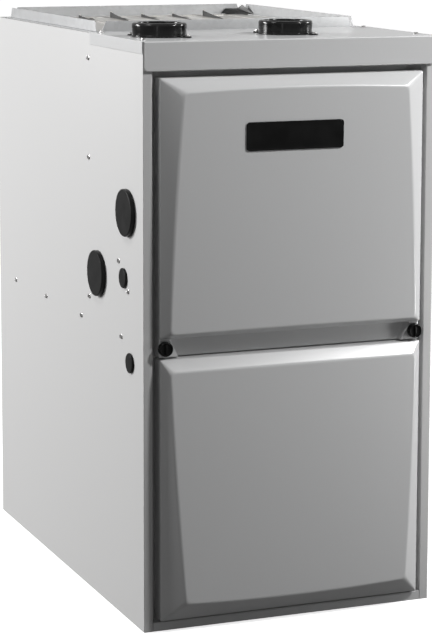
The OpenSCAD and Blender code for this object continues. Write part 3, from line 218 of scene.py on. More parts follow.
FINISHES = {
    "side_paint": finish(
        "wall_paint", grey(0.51, 0.003), grey(0.53, 0.003), (0.45, 0.5),
        grain(1200), bumps(700, 0.015), shine=0.35,
    ),
    "front_paint": finish(
        "door_paint", grey(0.53, -0.004), grey(0.55, -0.004), (0.30, 0.33),
        grain(1500), bumps(600, 0.003), metal=0.06, coat=0.3, shine=0.3,
    ),
    "galvanised": finish(
        "zinc_coated_sheet", grey(0.36, -0.01), grey(0.40, -0.01), (0.42, 0.48),
        (CELLS, 160, SMOOTH, 0.1, 0.9), bumps(300, 0.010), metal=0.25,
    ),
    "collar_plastic": finish(
        "gloss_black_collar", grey(0.006), grey(0.010), (0.12, 0.2),
        grain(40), bumps(150, 0.02), shine=0.22,
    ),
    "plug_plastic": finish(
        "satin_black_plug", grey(0.006), grey(0.010), (0.28, 0.38),
        grain(60), bumps(1400, 0.03), shine=0.14,
    ),
    "screw_steel": finish(
        "plated_screw", grey(0.34, 0.01), grey(0.50, 0.01), (0.24, 0.36),
        grain(300), bumps(900, 0.02, (1, 6, 1)), metal=1.0,
    ),
    "burnished_steel": finish(
        "aluminised_cell", (0.52, 0.50, 0.47), (0.70, 0.69, 0.67), (0.3, 0.48),
        grain(14, (1, 0.4, 2), low=0.3, high=0.7), bumps(220, 0.06, (1, 4, 1)), metal=0.65,
    ),
    "fin_aluminium": finish(
        "fin_foil", grey(0.68), grey(0.82), (0.25, 0.4),
        grain(120, (4, 1, 1)), bumps(700, 0.03), metal=0.95,
    ),
    "coil_tube_steel": finish(
        "stainless_tube", grey(0.52, 0.01), grey(0.66, 0.01), (0.2, 0.34),
        grain(80, (1, 0.1, 1)), bumps(900, 0.02, (1, 0.1, 1)), metal=1.0,
    ),
    "collector_plastic": finish(
        "glass_filled_black", grey(0.014), grey(0.026), (0.45, 0.6),
        grain(500, (1, 1, 0.3)), bumps(900, 0.06),
    ),
    "manifold_paint": finish(
        "black_iron_pipe", grey(0.02), grey(0.045), (0.45, 0.65),
        grain(60), bumps(350, 0.12), metal=0.2,
    ),
    "valve_aluminium": finish(
        "cast_valve_body", grey(0.38), grey(0.52), (0.42, 0.6),
        grain(70, low=0.3, high=0.7), bumps(800, 0.10), metal=0.85,
    ),
    "knob_plastic": finish(
        "gloss_black_knob", grey(0.005), grey(0.009), (0.14, 0.24),
        grain(90), bumps(500, 0.02), shine=0.14,
    ),
    "ceramic_white": finish(
        "glazed_ceramic", (0.72, 0.70, 0.64), (0.86, 0.85, 0.80), (0.3, 0.55),
        grain(90, low=0.3, high=0.7), bumps(900, 0.04),
    ),
    "motor_paint": finish(
        "dark_enamel", grey(0.045, -0.04), grey(0.07, -0.04), (0.32, 0.46),
        grain(30), bumps(500, 0.05), metal=0.2,
    ),
    "wheel_steel": finish(
        "rolled_steel", grey(0.45, 0.01), grey(0.62, 0.01), (0.28, 0.45),
        grain(60, (0.15, 1, 1), low=0.3, high=0.7), bumps(700, 0.03, (0.15, 1, 1)), metal=0.9,
    ),
    "hose_rubber": finish(
        "hose_rubber", grey(0.012), grey(0.022), (0.5, 0.65),
        grain(200), bumps(900, 0.05),
    ),
    "pipe_plastic": finish(
        "white_vent_pipe", (0.74, 0.74, 0.72), (0.82, 0.82, 0.80), (0.28, 0.4),
        grain(25, (1, 1, 0.2)), bumps(400, 0.02, (1, 1, 0.2)),
    ),
    "board_green": finish(
        "circuit_board", (0.015, 0.075, 0.03), (0.035, 0.16, 0.06), (0.28, 0.4),
        (CELLS, 260, (1, 1, 3), 0.45, 0.55), (CELLS, 260, (1, 1, 3), 0.05), coat=0.3,
    ),
    "insulation": finish(
        "fibre_blanket", (0.50, 0.42, 0.22), (0.72, 0.64, 0.38), (0.8, 0.95),
        grain(45, (1, 1, 3), low=0.3, high=0.7), bumps(420, 0.9, (0.4, 1, 1.6)), sheen=0.4,
        extra_relief=bumps(60, 1.2),
    ),
    "badge_black": finish(
        "badge_lacquer", grey(0.005), grey(0.008), (0.16, 0.24),
        grain(30), bumps(900, 0.008), shine=0.14,
    ),
}


# ---- Making and finishing a piece ----


CREASE = 34  # degrees from which an edge stays crisp


def placed(name, mesh):
    """An object at the origin, whose place is in its mesh."""
    obj = bpy.data.objects.new(name, mesh)
    scene.collection.objects.link(obj)
    return obj


def smooth_shade(mesh, sharp=CREASE):
    """Smooth faces, with edges kept crisp where they turn by more than sharp degrees."""
    mesh.shade_smooth()
    mesh.set_sharp_from_angle(angle=math.radians(sharp))


def from_bmesh(name, bm, sharp=CREASE):
    """The finished mesh of a bmesh, with its doubles merged and its faces turned outwards."""
    bmesh.ops.remove_doubles(bm, verts=bm.verts, dist=1e-6)
    bmesh.ops.recalc_face_normals(bm, faces=bm.faces)
    mesh = bpy.data.meshes.new(name)
    bm.to_mesh(mesh)
    bm.free()
    smooth_shade(mesh, sharp)
    return placed(name, mesh)


def settled(obj):
    """The object with its modifiers made part of its mesh."""
    bpy.context.view_layer.update()
    graph = bpy.context.evaluated_depsgraph_get()
    mesh = bpy.data.meshes.new_from_object(obj.evaluated_get(graph), depsgraph=graph)
    old = obj.data
    obj.modifiers.clear()
    obj.data = mesh
    bpy.data.meshes.remove(old)
    return obj


def joined(name, objects):
    """Several finished objects as one."""
    bm = bmesh.new()
    for obj in objects:
        bm.from_mesh(obj.data)
        remove(obj)
    mesh = bpy.data.meshes.new(name)
    bm.to_mesh(mesh)
    bm.free()
    return placed(name, mesh)


def remove(obj):
    """Takes away a shape that was only needed to make another."""
    mesh = obj.data
    bpy.data.objects.remove(obj)
    bpy.data.meshes.remove(mesh)


def done(obj, slot, body, *nodes):
    """Gives a finished piece its slot's material and the body that it rides on, and hides the solids it
    replaces.
    """
    obj.data.materials.clear()
    obj.data.materials.append(FINISHES[slot])
    for polygon in obj.data.polygons:
        polygon.material_index = 0
    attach(obj, body)
    if nodes:
        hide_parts(*nodes)
    return obj


def fixed(obj, slot, *nodes):
    """A finished piece that stays with the cabinet."""
    return done(obj, slot, "cabinet", *nodes)


# ---- Shapes ----


def arc(a, corner, b, steps):
    """Points of a smooth bend from a to b round a corner."""
    shares = [i / steps for i in range(steps + 1)]
    return [a * (1 - t) ** 2 + corner * 2 * t * (1 - t) + b * t * t for t in shares]


def filleted(points, steps, closed):
    """A line of (u, v, radius) corners with each corner rounded."""
    made, count = [], len(points)
    for i, (u, v, radius) in enumerate(points):
        here = Vector((u, v))
        if radius <= 0 or (not closed and i in (0, count - 1)):
            made.append(here)
            continue
        before = Vector(points[i - 1][:2]) - here
        after = Vector(points[(i + 1) % count][:2]) - here
        angle = before.angle(after)
        reach = min(radius / math.tan(angle / 2), 0.49 * before.length, 0.49 * after.length)
        made += arc(here + before.normalized() * reach, here, here + after.normalized() * reach, steps)
    return made


AXES = {
    "x": lambda r, c, s, h: (h, r * c, r * s),
    "y": lambda r, c, s, h: (r * s, h, r * c),
    "z": lambda r, c, s, h: (r * c, r * s, h),
}


def lathe(name, profile, centre, axis="z", sides=64, steps=4, flutes=None):
    """A turned piece: a profile of (radius, height, rounding) about an axis through centre.

    A profile that starts and ends on the axis is left open there, any other one is closed to a ring.
    flutes is (how many, how deep, from which radius on).
    """
    closed = profile[0][0] > 0 or profile[-1][0] > 0
    points = filleted(profile, steps, closed)
    bm = bmesh.new()
    rings = []
    for r, h in points:
        if r < 1e-6:
            tip = Vector(centre) + Vector(AXES[axis](0, 0, 0, h))
            rings.append([bm.verts.new(at(*tip))] * sides)
            continue
        ring = []
        for k in range(sides):
            turn = 2 * math.pi * k / sides
            cut = flutes[1] * (0.5 - 0.5 * math.cos(flutes[0] * turn)) if flutes and r > flutes[2] else 0
            spot = AXES[axis](r - cut, math.cos(turn), math.sin(turn), h)
            ring.append(bm.verts.new(at(*(Vector(centre) + Vector(spot)))))
        rings.append(ring)
    for low, high in zip(rings, rings[1:] + (rings[:1] if closed else [])):
        if low[0] is low[1] and high[0] is high[1]:
            continue
        for k in range(sides):
            corners = [low[k], low[(k + 1) % sides], high[(k + 1) % sides], high[k]]
            corners = [v for i, v in enumerate(corners) if v not in corners[:i]]
            if len(corners) > 2:
                bm.faces.new(corners)
    return from_bmesh(name, bm)


def box_line(inner, outer, low, high, *rounds):
    """A lathe's profile with four corners, from the inner low one round to the inner high one."""
    places = ((inner, low), (outer, low), (outer, high), (inner, high))
    return [(*place, rounding) for place, rounding in zip(places, rounds)]


def slab(name, low, high, round_by=0.6, segments=2):
    """A block with rounded edges."""
    bm = bmesh.new()
    bmesh.ops.create_cube(bm, size=1)
    low, high = at(*low), at(*high)
    for vert in bm.verts:
        vert.co = Vector(low[i] + (vert.co[i] + 0.5) * (high[i] - low[i]) for i in range(3))
    if round_by:
        bmesh.ops.bevel(bm, geom=bm.edges, offset=round_by * MM, segments=segments, profile=0.5,
                        affect="EDGES")
    return from_bmesh(name, bm, 40)


def blade(low, high):
    """A thin flat connector blade."""
    return slab("blade", low, high, 0.2, 1)


def lofted(name, rings, sharp=CREASE):
    """A closed solid through rings of points of the cabinet, flat at its two ends."""
    bm = bmesh.new()
    loops = [[bm.verts.new(at(*p)) for p in ring] for ring in rings]
    count = len(loops[0])
    for a, b in zip(loops, loops[1:]):
        for k in range(count):
            bm.faces.new((a[k], a[(k + 1) % count], b[(k + 1) % count], b[k]))
    bm.faces.new(loops[0])
    bm.faces.new(loops[-1])
    return from_bmesh(name, bm, sharp)


def combined(kind, first, *others):
    """The union or difference of closed solids."""
    for other in others:
        modifier = first.modifiers.new("join", "BOOLEAN")
        modifier.operation, modifier.object, modifier.solver = kind, other, "EXACT"
    settled(first)
    for other in others:
        remove(other)
    return first


def tube(name, path, radius, sides=16, steps=6):
    """A round tube along a smooth line through the path's points, closed at its ends."""
    spots = [Vector(p) for p in path]
    line = []
    for i in range(len(spots) - 1):
        p0, p1, p2, p3 = spots[max(i - 1, 0)], spots[i], spots[i + 1], spots[min(i + 2, len(spots) - 1)]
        for k in range(steps):
            t = k / steps
            line.append(
                0.5 * (2 * p1 + (p2 - p0) * t + (2 * p0 - 5 * p1 + 4 * p2 - p3) * t * t
                       + (3 * p1 - p0 - 3 * p2 + p3) * t ** 3)
            )
    line.append(spots[-1])
    normal, rings = Vector((0, 0, 1)), []
    if abs((line[1] - line[0]).normalized().z) > 0.9:
        normal = Vector((1, 0, 0))
    for i, spot in enumerate(line):
        along = (line[min(i + 1, len(line) - 1)] - line[max(i - 1, 0)]).normalized()
        normal = (normal - along * normal.dot(along)).normalized()
        side = along.cross(normal)
        turns = [2 * math.pi * k / sides for k in range(sides)]
        rings.append([spot + radius * (normal * math.cos(turn) + side * math.sin(turn)) for turn in turns])
    return lofted(name, rings, 50)


def edged(name, node, width, bends=(), segments=2):
    """A merged copy of a solid with its edges broken. bends gives some edges a wider fold."""
    bm = bmesh.new()
    bm.from_mesh(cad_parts[node].data)
    bmesh.ops.remove_doubles(bm, verts=bm.verts, dist=1e-5)
    bmesh.ops.dissolve_limit(bm, angle_limit=math.radians(0.5), verts=bm.verts, edges=bm.edges)
    weight = bm.edges.layers.float.new("bevel_weight_edge")
    widest = max([width, *(wide for _, wide in bends)])
    for edge in bm.edges:
        if len(edge.link_faces) != 2 or edge.calc_face_angle(0) < math.radians(40):
            continue
        a, b = ((v.co / MM) - Vector((0, FRONT, 0)) for v in edge.verts)
        wide = next((wide for test, wide in bends if test(a, b)), width)
        edge[weight] = wide / widest
    mesh = bpy.data.meshes.new(name)
    bm.to_mesh(mesh)
    bm.free()
    obj = placed(name, mesh)
    smooth_shade(mesh, 40)
    bevel = obj.modifiers.new("edges", "BEVEL")
    bevel.limit_method, bevel.width, bevel.segments = "WEIGHT", widest * MM, segments
    bevel.use_clamp_overlap = False
    bevel.harden_normals = True
    return settled(obj)


# ---- Repeats, with Geometry Nodes ----


def new_tree(name, inputs):
    """A Geometry Nodes tree with named inputs, and a table of their identifiers."""
    tree = bpy.data.node_groups.new(name, "GeometryNodeTree")
    tree.interface.new_socket("Geometry", in_out="OUTPUT", socket_type="NodeSocketGeometry")
    names = {}
    for label, kind in {"Spots": "Geometry", **inputs}.items():
        names[label] = tree.interface.new_socket(label, in_out="INPUT",
                                                 socket_type="NodeSocket" + kind).identifier
    return tree, names


def finish_tree(tree, instances, material):
    """Ends a tree with real geometry in one material."""
    real = add(tree, "GeometryNodeRealizeInstances", {0: instances})
    paint = add(tree, "GeometryNodeSetMaterial", {"Geometry": real.outputs[0], "Material": material})
    add(tree, "NodeGroupOutput", {0: paint.outputs[0]})


def spots_tree():
    """A copy of one shape on every spot, along the spot's aim, turned at random about it."""
    tree, names = new_tree(
        "set_on_spots",
        {"Shape": "Object", "Size": "Float", "Turn": "Float", "Seed": "Int", "Finish": "Material"},
    )
    given = add(tree, "NodeGroupInput").outputs
    shape = add(tree, "GeometryNodeObjectInfo", {"Object": given["Shape"]})
    aim = add(tree, "GeometryNodeInputNamedAttribute", {"Name": "aim"}, data_type="FLOAT_VECTOR")
    align = add(tree, "FunctionNodeAlignRotationToVector", {"Vector": aim.outputs["Attribute"]}, axis="Z")
    most = {3: given["Turn"], "Seed": given["Seed"]}
    chance = add(tree, "FunctionNodeRandomValue", most, data_type="FLOAT")
    spin = add(tree, "FunctionNodeAxisAngleToRotation", {"Angle": chance.outputs[1]})
    ways = {"Rotation": align.outputs["Rotation"], "Rotate By": spin.outputs["Rotation"]}
    turn = add(tree, "FunctionNodeRotateRotation", ways, rotation_space="LOCAL")
    copies = add(tree, "GeometryNodeInstanceOnPoints", {
        "Points": given["Spots"], "Instance": shape.outputs["Geometry"], "Rotation": turn.outputs["Rotation"],
        "Scale": given["Size"],
    })
    finish_tree(tree, copies.outputs["Instances"], given["Finish"])
    return tree, names


def series_tree():
    """Copies of one shape, each moved by a step and turned by an angle from the one before."""
    tree, names = new_tree("repeat_in_series", {
        "Shape": "Object", "Count": "Int", "Centre": "Vector", "Step": "Vector", "Turn": "Vector",
        "Finish": "Material",
    })
    given = add(tree, "NodeGroupInput").outputs
    shape = add(tree, "GeometryNodeObjectInfo", {"Object": given["Shape"]})
    ends = {"Count": given["Count"], "Start Location": given["Centre"], "Offset": given["Step"]}
    line = add(tree, "GeometryNodeMeshLine", ends)
    index = add(tree, "GeometryNodeInputIndex")
    turned = {0: given["Turn"], "Scale": index.outputs[0]}
    angle = add(tree, "ShaderNodeVectorMath", turned, operation="SCALE")
    copies = add(tree, "GeometryNodeInstanceOnPoints", {
        "Points": line.outputs["Mesh"], "Instance": shape.outputs["Geometry"],
        "Rotation": angle.outputs["Vector"],
    })
    finish_tree(tree, copies.outputs["Instances"], given["Finish"])
    return tree, names


SPOTS_TREE = spots_tree()
SERIES_TREE = series_tree()
TURN_SEED = 3


def grown(name, tree, spots, **values):
    """A plain mesh from a Geometry Nodes tree."""
    mesh = bpy.data.meshes.new(name)
    mesh.from_pydata([s[0] for s in spots], [], [])
    aim = mesh.attributes.new("aim", "FLOAT_VECTOR", "POINT")
    aim.data.foreach_set("vector", [n for s in spots for n in s[1]])
    obj = placed(name, mesh)
    modifier = obj.modifiers.new("repeat", "NODES")
    modifier.node_group = tree[0]
    for label, value in values.items():
        modifier[tree[1][label]] = value
    settled(obj)
    remove(values["Shape"])
    return obj


def on_spots(name, shape, spots, slot, turn=0.0, size=1.0):
    """Copies of a shape, modelled at the frame's origin along +Z, on (place, direction) spots."""
    spots = [(at(*place), Vector(way).normalized()) for place, way in spots]
    return grown(name, SPOTS_TREE, spots, Shape=shape, Size=size, Turn=turn, Seed=TURN_SEED,
                 Finish=FINISHES[slot])


def in_series(name, shape, count, slot, centre=HERE, step=(0, 0, 0), turn=(0, 0, 0)):
    """Copies of a shape, modelled at the frame's origin, from centre by steps and turns."""
    turn = [math.radians(a) for a in turn]
    return grown(
        name, SERIES_TREE, [(at(*centre), (0, 0, 1))], Shape=shape, Count=count, Centre=at(*centre),
        Step=[s * MM for s in step], Turn=turn, Finish=FINISHES[slot],
    )


# ---- Screws ----


def hex_screw():
    """A hexagon head on a washer, with a slot."""
    washer = lathe("washer", ((0, 0, 0), (4, 0, 0.15), (4, 0.55, 0.25), (2.9, 0.9, 0.3), (0, 0.9, 0)), HERE,
                   sides=24, steps=2)
    bm = bmesh.new()
    bmesh.ops.create_cone(bm, cap_ends=True, segments=6, radius1=3.15 * MM, radius2=3.15 * MM, depth=1.7 * MM,
                          matrix=Matrix.Translation((0, 0, 1.65 * MM)))
    top = [f for f in bm.faces if f.normal.z > 0.9]
    bmesh.ops.bevel(bm, geom=[e for f in top for e in f.edges], offset=0.35 * MM, segments=2, affect="EDGES")
    head = from_bmesh("head", bm)
    slot = slab("slot", (-4, -FRONT - 0.35, 1.75), (4, -FRONT + 0.35, 3), 0)
    return joined("hex_screw", [washer, combined("DIFFERENCE", head, slot)])


def cabinet_screws():
    """The screws that show: on both walls, the ledge and the collars' ears."""
    side = [(232, 443), (232, 649), (232, 794), (91, 408), (270, 408), (444, 408), (607, 408)]
    spots = [((way * HALF_W, y, z), (way, 0, 0)) for way in (-1, 1) for y, z in side]
    spots += [((-HALF_W, 62, 477), (-1, 0, 0)), ((-HALF_W, 101, 515), (-1, 0, 0))]
    spots += [((way * STILE_IN, y, TOP), (0, 0, 1)) for way in (-1, 1) for y in (36, 212)]
    for x in COLLAR_X.values():
        for way in (EAR_WAY, EAR_WAY + 180):
            turn = math.radians(way)
            spot = (x + EAR_REACH * math.cos(turn), COLLAR_Y + EAR_REACH * math.sin(turn), TOP + 2)
            spots.append((spot, (0, 0, 1)))
    screws_at("cabinet_screw_heads", spots, 1.0, "cabinet_screws")


# ---- Doors ----


def outline(sides, corner, per_side=28):
    """A closed line round four sides, each a function of 0..1, with round corners."""
    loop = []
    for k in range(4):
        side, after = sides[k], sides[(k + 1) % 4]
        t = corner / (side(1) - side(0)).length
        loop += [side(t + (1 - 2 * t) * i / per_side) for i in range(per_side + 1)]
        t_after = corner / (after(1) - after(0)).length
        loop += arc(side(1 - t), side(1), after(t_after), 6)[1:-1]
    return loop


def rectangle(half, low, high):
    """The four sides of an upright rectangle, each as a function of 0..1."""
    corners = [Vector(p) for p in ((-half, low), (half, low), (half, high), (-half, high))]
    return [lambda t, a=corners[k], b=corners[(k + 1) % 4]: a.lerp(b, t) for k in range(4)]


class Ridge:
    """The line where a door's bevels meet its raised face, and the plane of that face."""

    def __init__(self, z_near, z_far, proud_near, proud_far):
        """near is the end at the band with the knobs, far is the other end of the door."""
        self.near, self.far, self.proud_near, self.proud_far = z_near, z_far, proud_near, proud_far

    def half(self, z):
        """Half the width of the raised face at a height."""
        share = min(max((z - self.near) / (self.far - self.near), 0), 1)
        return CREST_HALF - CREST_TAPER * share ** 1.5

    def proud(self, z):
        """How far the raised face stands out at a height."""
        return self.proud_near + (self.proud_far - self.proud_near) * (z - self.near) / (self.far - self.near)

    def sides(self, inset):
        """The face's four sides, moved inwards by inset. The far end is arched."""
        way = 1 if self.far > self.near else -1
        near, far = self.near + way * inset, self.far - way * inset

        def end(z, from_x, to_x, arch):
            return lambda t: Vector((from_x + (to_x - from_x) * t, z + arch * (1 - (2 * t - 1) ** 2)))

        def flank(sign, from_z, to_z):
            return lambda t: Vector((sign * (self.half(from_z + (to_z - from_z) * t) - inset),
                                     from_z + (to_z - from_z) * t))

        near_half, far_half = self.half(near) - inset, self.half(far) - inset
        low, high = (near, far) if way > 0 else (far, near)
        low_half, high_half = (near_half, far_half) if way > 0 else (far_half, near_half)
        return [
            end(low, -low_half, low_half, 0 if way > 0 else -CREST_ARCH), flank(1, low, high),
            end(high, high_half, -high_half, CREST_ARCH if way > 0 else 0), flank(-1, high, low),
        ]


def door_body(name, low, high, ridge, inset):
    """A door's raised body as a closed solid: side wall, fold, bevel, ridge fold and face."""
    half = DOOR_HALF - inset
    outer = outline(rectangle(half, low + inset, high - inset), DOOR_CORNER)
    crest = outline(ridge.sides(inset), 7)
    inner = outline(ridge.sides(inset + 13), 9)
    steps = 5
    back = DOOR_BACK + (1 if inset else 0)
    rings = []
    for a, b, c in zip(outer, crest, inner):
        rim = Vector((a.x, -(EDGE_PROUD - inset), a.y))
        top = Vector((b.x, -(ridge.proud(b.y) - inset), b.y))
        face = Vector((c.x, -(ridge.proud(c.y) - inset), c.y))
        down, up, along = Vector((0, 1, 0)), (top - rim).normalized(), (face - top).normalized()
        line = [Vector((a.x, back, a.y)), Vector((a.x, back - 1, a.y)), rim + down * (SHEET_FOLD + 0.6)]
        line += arc(rim + down * SHEET_FOLD, rim, rim + up * SHEET_FOLD, steps)
        line += arc(top - up * CREST_FOLD, top, top + along * CREST_FOLD, steps + 2)
        line += [top + along * (CREST_FOLD + 0.6), face]
        rings.append(line)
    return lofted(name, list(zip(*rings)))


def flat_body(name, low, high, proud, inset):
    """A plain pressed panel as a closed solid with a folded edge."""
    loop = outline(rectangle(DOOR_HALF - inset, low + inset, high - inset), DOOR_CORNER)
    back, front = DOOR_BACK + (1 if inset else 0), -(proud - inset)
    middle = (low + high) / 2
    rings = [[(p.x, back, p.y) for p in loop]]
    for step in range(6):
        turn = math.pi / 2 * step / 5
        draw = SHEET_FOLD * (1 - math.cos(turn))
        ring = []
        for p in loop:
            x = p.x - math.copysign(min(draw, abs(p.x)), p.x)
            z = p.y - math.copysign(min(draw, abs(p.y - middle)), p.y - middle)
            ring.append((x, front + SHEET_FOLD * (1 - math.sin(turn)), z))
        rings.append(ring)
    return lofted(name, rings)


def finger_recess(grow):
    """The scoop across the upper door's band, with slanted ends. grow makes it larger all round."""
    low, high = RECESS_LOW - 3, BAND_TOP + 4
    half_low, half_high = (half + grow for half in RECESS_HALF)
    rings = []
    for y, inset in ((-4, -1), (-BAND_PROUD + 0.2, 0), (-BAND_PROUD + 1.4, 1.0), (7.0, 2.2), (8.4, 3.0),
                     (9, 4.4)):
        loop = []
        for x, z in ((-half_low, low), (half_low, low), (half_high, high), (-half_high, high)):
            loop.append((x - math.copysign(inset, x), y + grow * (y > 0), z))
        rings.append(loop)
    return lofted("finger_recess", rings)


def doors():
    """Both doors as hollow pressed sheets, the upper one with its band and finger recess."""
    ridge = Ridge(*UPPER_RIDGE)
    shell = door_body("upper_door_shell", BAND_TOP, UPPER[1], ridge, 0)
    band = flat_body("band", UPPER[0], BAND_TOP + 3, BAND_PROUD, 0)
    hollow = door_body("hollow", BAND_TOP, UPPER[1], ridge, DOOR_SHEET)
    band_hollow = flat_body("band_hollow", UPPER[0], BAND_TOP + 3 + 2 * DOOR_SHEET, BAND_PROUD, DOOR_SHEET)
    combined("DIFFERENCE", band, finger_recess(0))
    combined("DIFFERENCE", band_hollow, finger_recess(DOOR_SHEET))
    combined("UNION", shell, band)
    combined("DIFFERENCE", shell, hollow, band_hollow)
    smooth_shade(shell.data)
    done(shell, "front_paint", "upper_door", "upper_door")

    ridge = Ridge(*LOWER_RIDGE)
    shell = door_body("lower_door_shell", *LOWER, ridge, 0)
    combined("DIFFERENCE", shell, door_body("hollow", *LOWER, ridge, DOOR_SHEET))
    smooth_shade(shell.data)
    done(shell, "front_paint", "lower_door", "lower_door")


def badge():
    """A bare lacquered plate with a raised, rounded rim."""
    (half_x, half_z), (x, y, z), tilt = BADGE_HALF, BADGE_AT, math.atan2(*BADGE_LIFT)
    rings = []
    for inset, lift in ((0, 0), (0, 1.4), (0.25, 1.8), (0.7, 2.0), (1.6, 2.0), (2.2, 1.85), (2.8, 1.8),
                        (6, 1.8)):
        loop = outline(rectangle(half_x - inset, inset - half_z, half_z - inset), max(5 - inset, 2), 10)
        rings.append([
            (x + p.x, y - lift * math.cos(tilt) - p.y * math.sin(tilt),
             z + p.y * math.cos(tilt) - lift * math.sin(tilt))
            for p in loop
        ])
    done(lofted("bare_badge", rings), "badge_black", "upper_door", "badge_plate")


def door_knobs():
    """Fluted quarter turn knobs with a dished face and a grip bar across it."""
    for way, body in ((-1, "left_knob"), (1, "right_knob")):
        centre = (way * KNOB_X, 0, KNOB_Z)
        cap = lathe(
            body + "_cap",
            ((0, -8.4, 0), (7.4, -8.4, 0.8), (8.2, -10.3, 0.5), (9.7, -10.3, 1.2), (10.5, -8.0, 1.0),
             (10.5, -2.3, 0.6), (3, -2.3, 0.2), (3, 21.2, 0.6), (0, 22, 0)),
            centre, "y", sides=96, flutes=(24, 0.35, 10.2),
        )
        bar = slab("bar", (way * KNOB_X - 1.7, -10.1, KNOB_Z - 7.2),
                   (way * KNOB_X + 1.7, -8.2, KNOB_Z + 7.2), 0.6)
        done(joined(body + "_cap", [cap, bar]), "knob_plastic", body, body)


# ---- Top ----


def collars():
    """Two pipe sockets with a rounded lip, each on a flange with two ears."""
    for node, x in COLLAR_X.items():
        low, top = TOP - 35, TOP + 20
        cup = lathe(
            node + "_cup",
            ((SOCKET_R, low, 0.4), (34.3, low, 0.8), (34.3, TOP, 0.3), (39, TOP, 0.2), (39, TOP + 2.4, 0.3),
             (38.4, TOP + 3.2, 0.3), (38.4, TOP + 6, 0.3), (39, top, 5.2),
             (SOCKET_R, top, 2.2), (SOCKET_R, top - 34, 0), (26.15, top - 34, 0.4), (26.15, top - 38, 0.4),
             (SOCKET_R, top - 38, 0)),
            (x, COLLAR_Y, 0), "z", sides=128, steps=6,
        )
        turn = math.radians(EAR_WAY)
        along, across = Vector((math.cos(turn), math.sin(turn))), Vector((-math.sin(turn), math.cos(turn)))
        loop = []
        for way in (1, -1):
            for k in range(13):
                angle = math.pi * (k / 12 - 0.5)
                loop.append(way * (along * (EAR_REACH + 6 * math.cos(angle)) + across * 6 * math.sin(angle)))
        rings = []
        for inset, z in ((0.4, 0), (0, 0.3), (0, 1.5), (0.35, 1.9), (0.8, 2)):
            ring = []
            for p in loop:
                flat = Vector((p.dot(along), p.dot(across)))
                flat -= Vector((math.copysign(inset, flat.x), math.copysign(min(inset, abs(flat.y)), flat.y)))
                q = along * flat.x + across * flat.y
                ring.append((x + q.x, COLLAR_Y + q.y, TOP + z))
            rings.append(ring)
        ears = lofted("ears", rings)
        bore = lathe("bore", box_line(0, 36, TOP - 1, TOP + 3, 0, 0, 0, 0),
                     (x, COLLAR_Y, 0))
        combined("DIFFERENCE", ears, bore)
        smooth_shade(ears.data)
        fixed(joined(node + "_cup", [cup, ears]), "collar_plastic", node)


def knockout_plugs():
    """Flat capped hole plugs with a crisp rim, on both walls."""
    made = []
    for way in (-1, 1):
        for y, z, r, proud in PLUGS:
            hole, sides = (30.3, 96) if r > 20 else (10.9, 48)
            profile = (
                (0, proud, 0), (r - 1.5, proud, 0.5), (r - 0.5, proud - 0.2, 0.4), (r, proud - 0.9, 0.4),
                (r, 0.9, 0.5), (r - 0.4, 0, 0.2), (hole, 0, 0.2), (hole, -6, 0.5), (hole - 1.5, -6, 0.4),
                (hole - 1.5, 1.2, 0.2), (0, 1.2, 0),
            )
            profile = [(a, way * (HALF_W + h), c) for a, h, c in profile]
            made.append(lathe("plug", profile, (0, y, z), "x", sides))
    fixed(joined("hole_plugs", made), "plug_plastic", "knockout_plugs")


def cabinet_shell():
    """The folded cabinet with its real bend radii."""

    def fold(x, y):
        def test(a, b):
            upright = abs(a.z - b.z) > 100
            return upright and abs(abs(a.x) - x) < 0.2 and abs(abs(b.x) - x) < 0.2 and abs(a.y - y) < 0.2
        return test

    bends = [(fold(HALF_W, 0), 2.2), (fold(WALL_IN, 1), 1.1), (fold(HALF_W, DEPTH), 2.2),
             (fold(WALL_IN, DEPTH - 1), 1.1), (fold(STILE_IN, 0), 1.6)]
    fixed(edged("cabinet_shell", "cabinet_wrapper", 0.3, bends, 3), "side_paint", "cabinet_wrapper")

    def long_edge(y, z):
        return lambda a, b: (abs(a.x - b.x) > 100 and abs(a.y - y) < 0.2
                             and abs(a.z - z) < 0.2 and abs(b.z - z) < 0.2)

    def skirt_edge(a, b):
        return abs(a.y - b.y) > 100 and abs(abs(a.x) - HALF_W - 1) < 0.2 and abs(a.z - TOP) < 0.2

    bends = [(long_edge(-4, TOP), 2.0), (long_edge(-4, 790), 0.8), (skirt_edge, 0.9)]
    fixed(edged("cap_and_header", "top_cap", 0.3, bends, 3), "front_paint", "top_cap")


# ---- Sheet metal inside and on top ----


def sheet_piece(name, loop, push):
    """A flat outline of points, given its thickness by push."""
    bm = bmesh.new()
    push = Vector(push) * MM
    low = [bm.verts.new(at(*p)) for p in loop]
    high = [bm.verts.new(v.co + push) for v in low]
    bm.faces.new(low)
    bm.faces.new(high)
    for k in range(len(loop)):
        j = (k + 1) % len(loop)
        bm.faces.new((low[k], low[j], high[j], high[k]))
    return from_bmesh(name, bm)


def screws_at(name, spots, size=1.0, *nodes):
    """Screws of one size on (place, direction) spots of the cabinet, turned at random."""
    fixed(on_spots(name, hex_screw(), spots, "screw_steel", turn=math.pi, size=size), "screw_steel", *nodes)


def rib_run(low, high, count, step):
    """A row of equal raised ribs, the first one between two corners."""
    low, high = Vector(low), Vector(high)
    half = (high - low) / 2
    shape = slab("rib", Vector(HERE) - half, Vector(HERE) + half, 0.5, 1)
    return in_series("ribs", shape, count, "collector_plastic", centre=tuple(low + half), step=step)


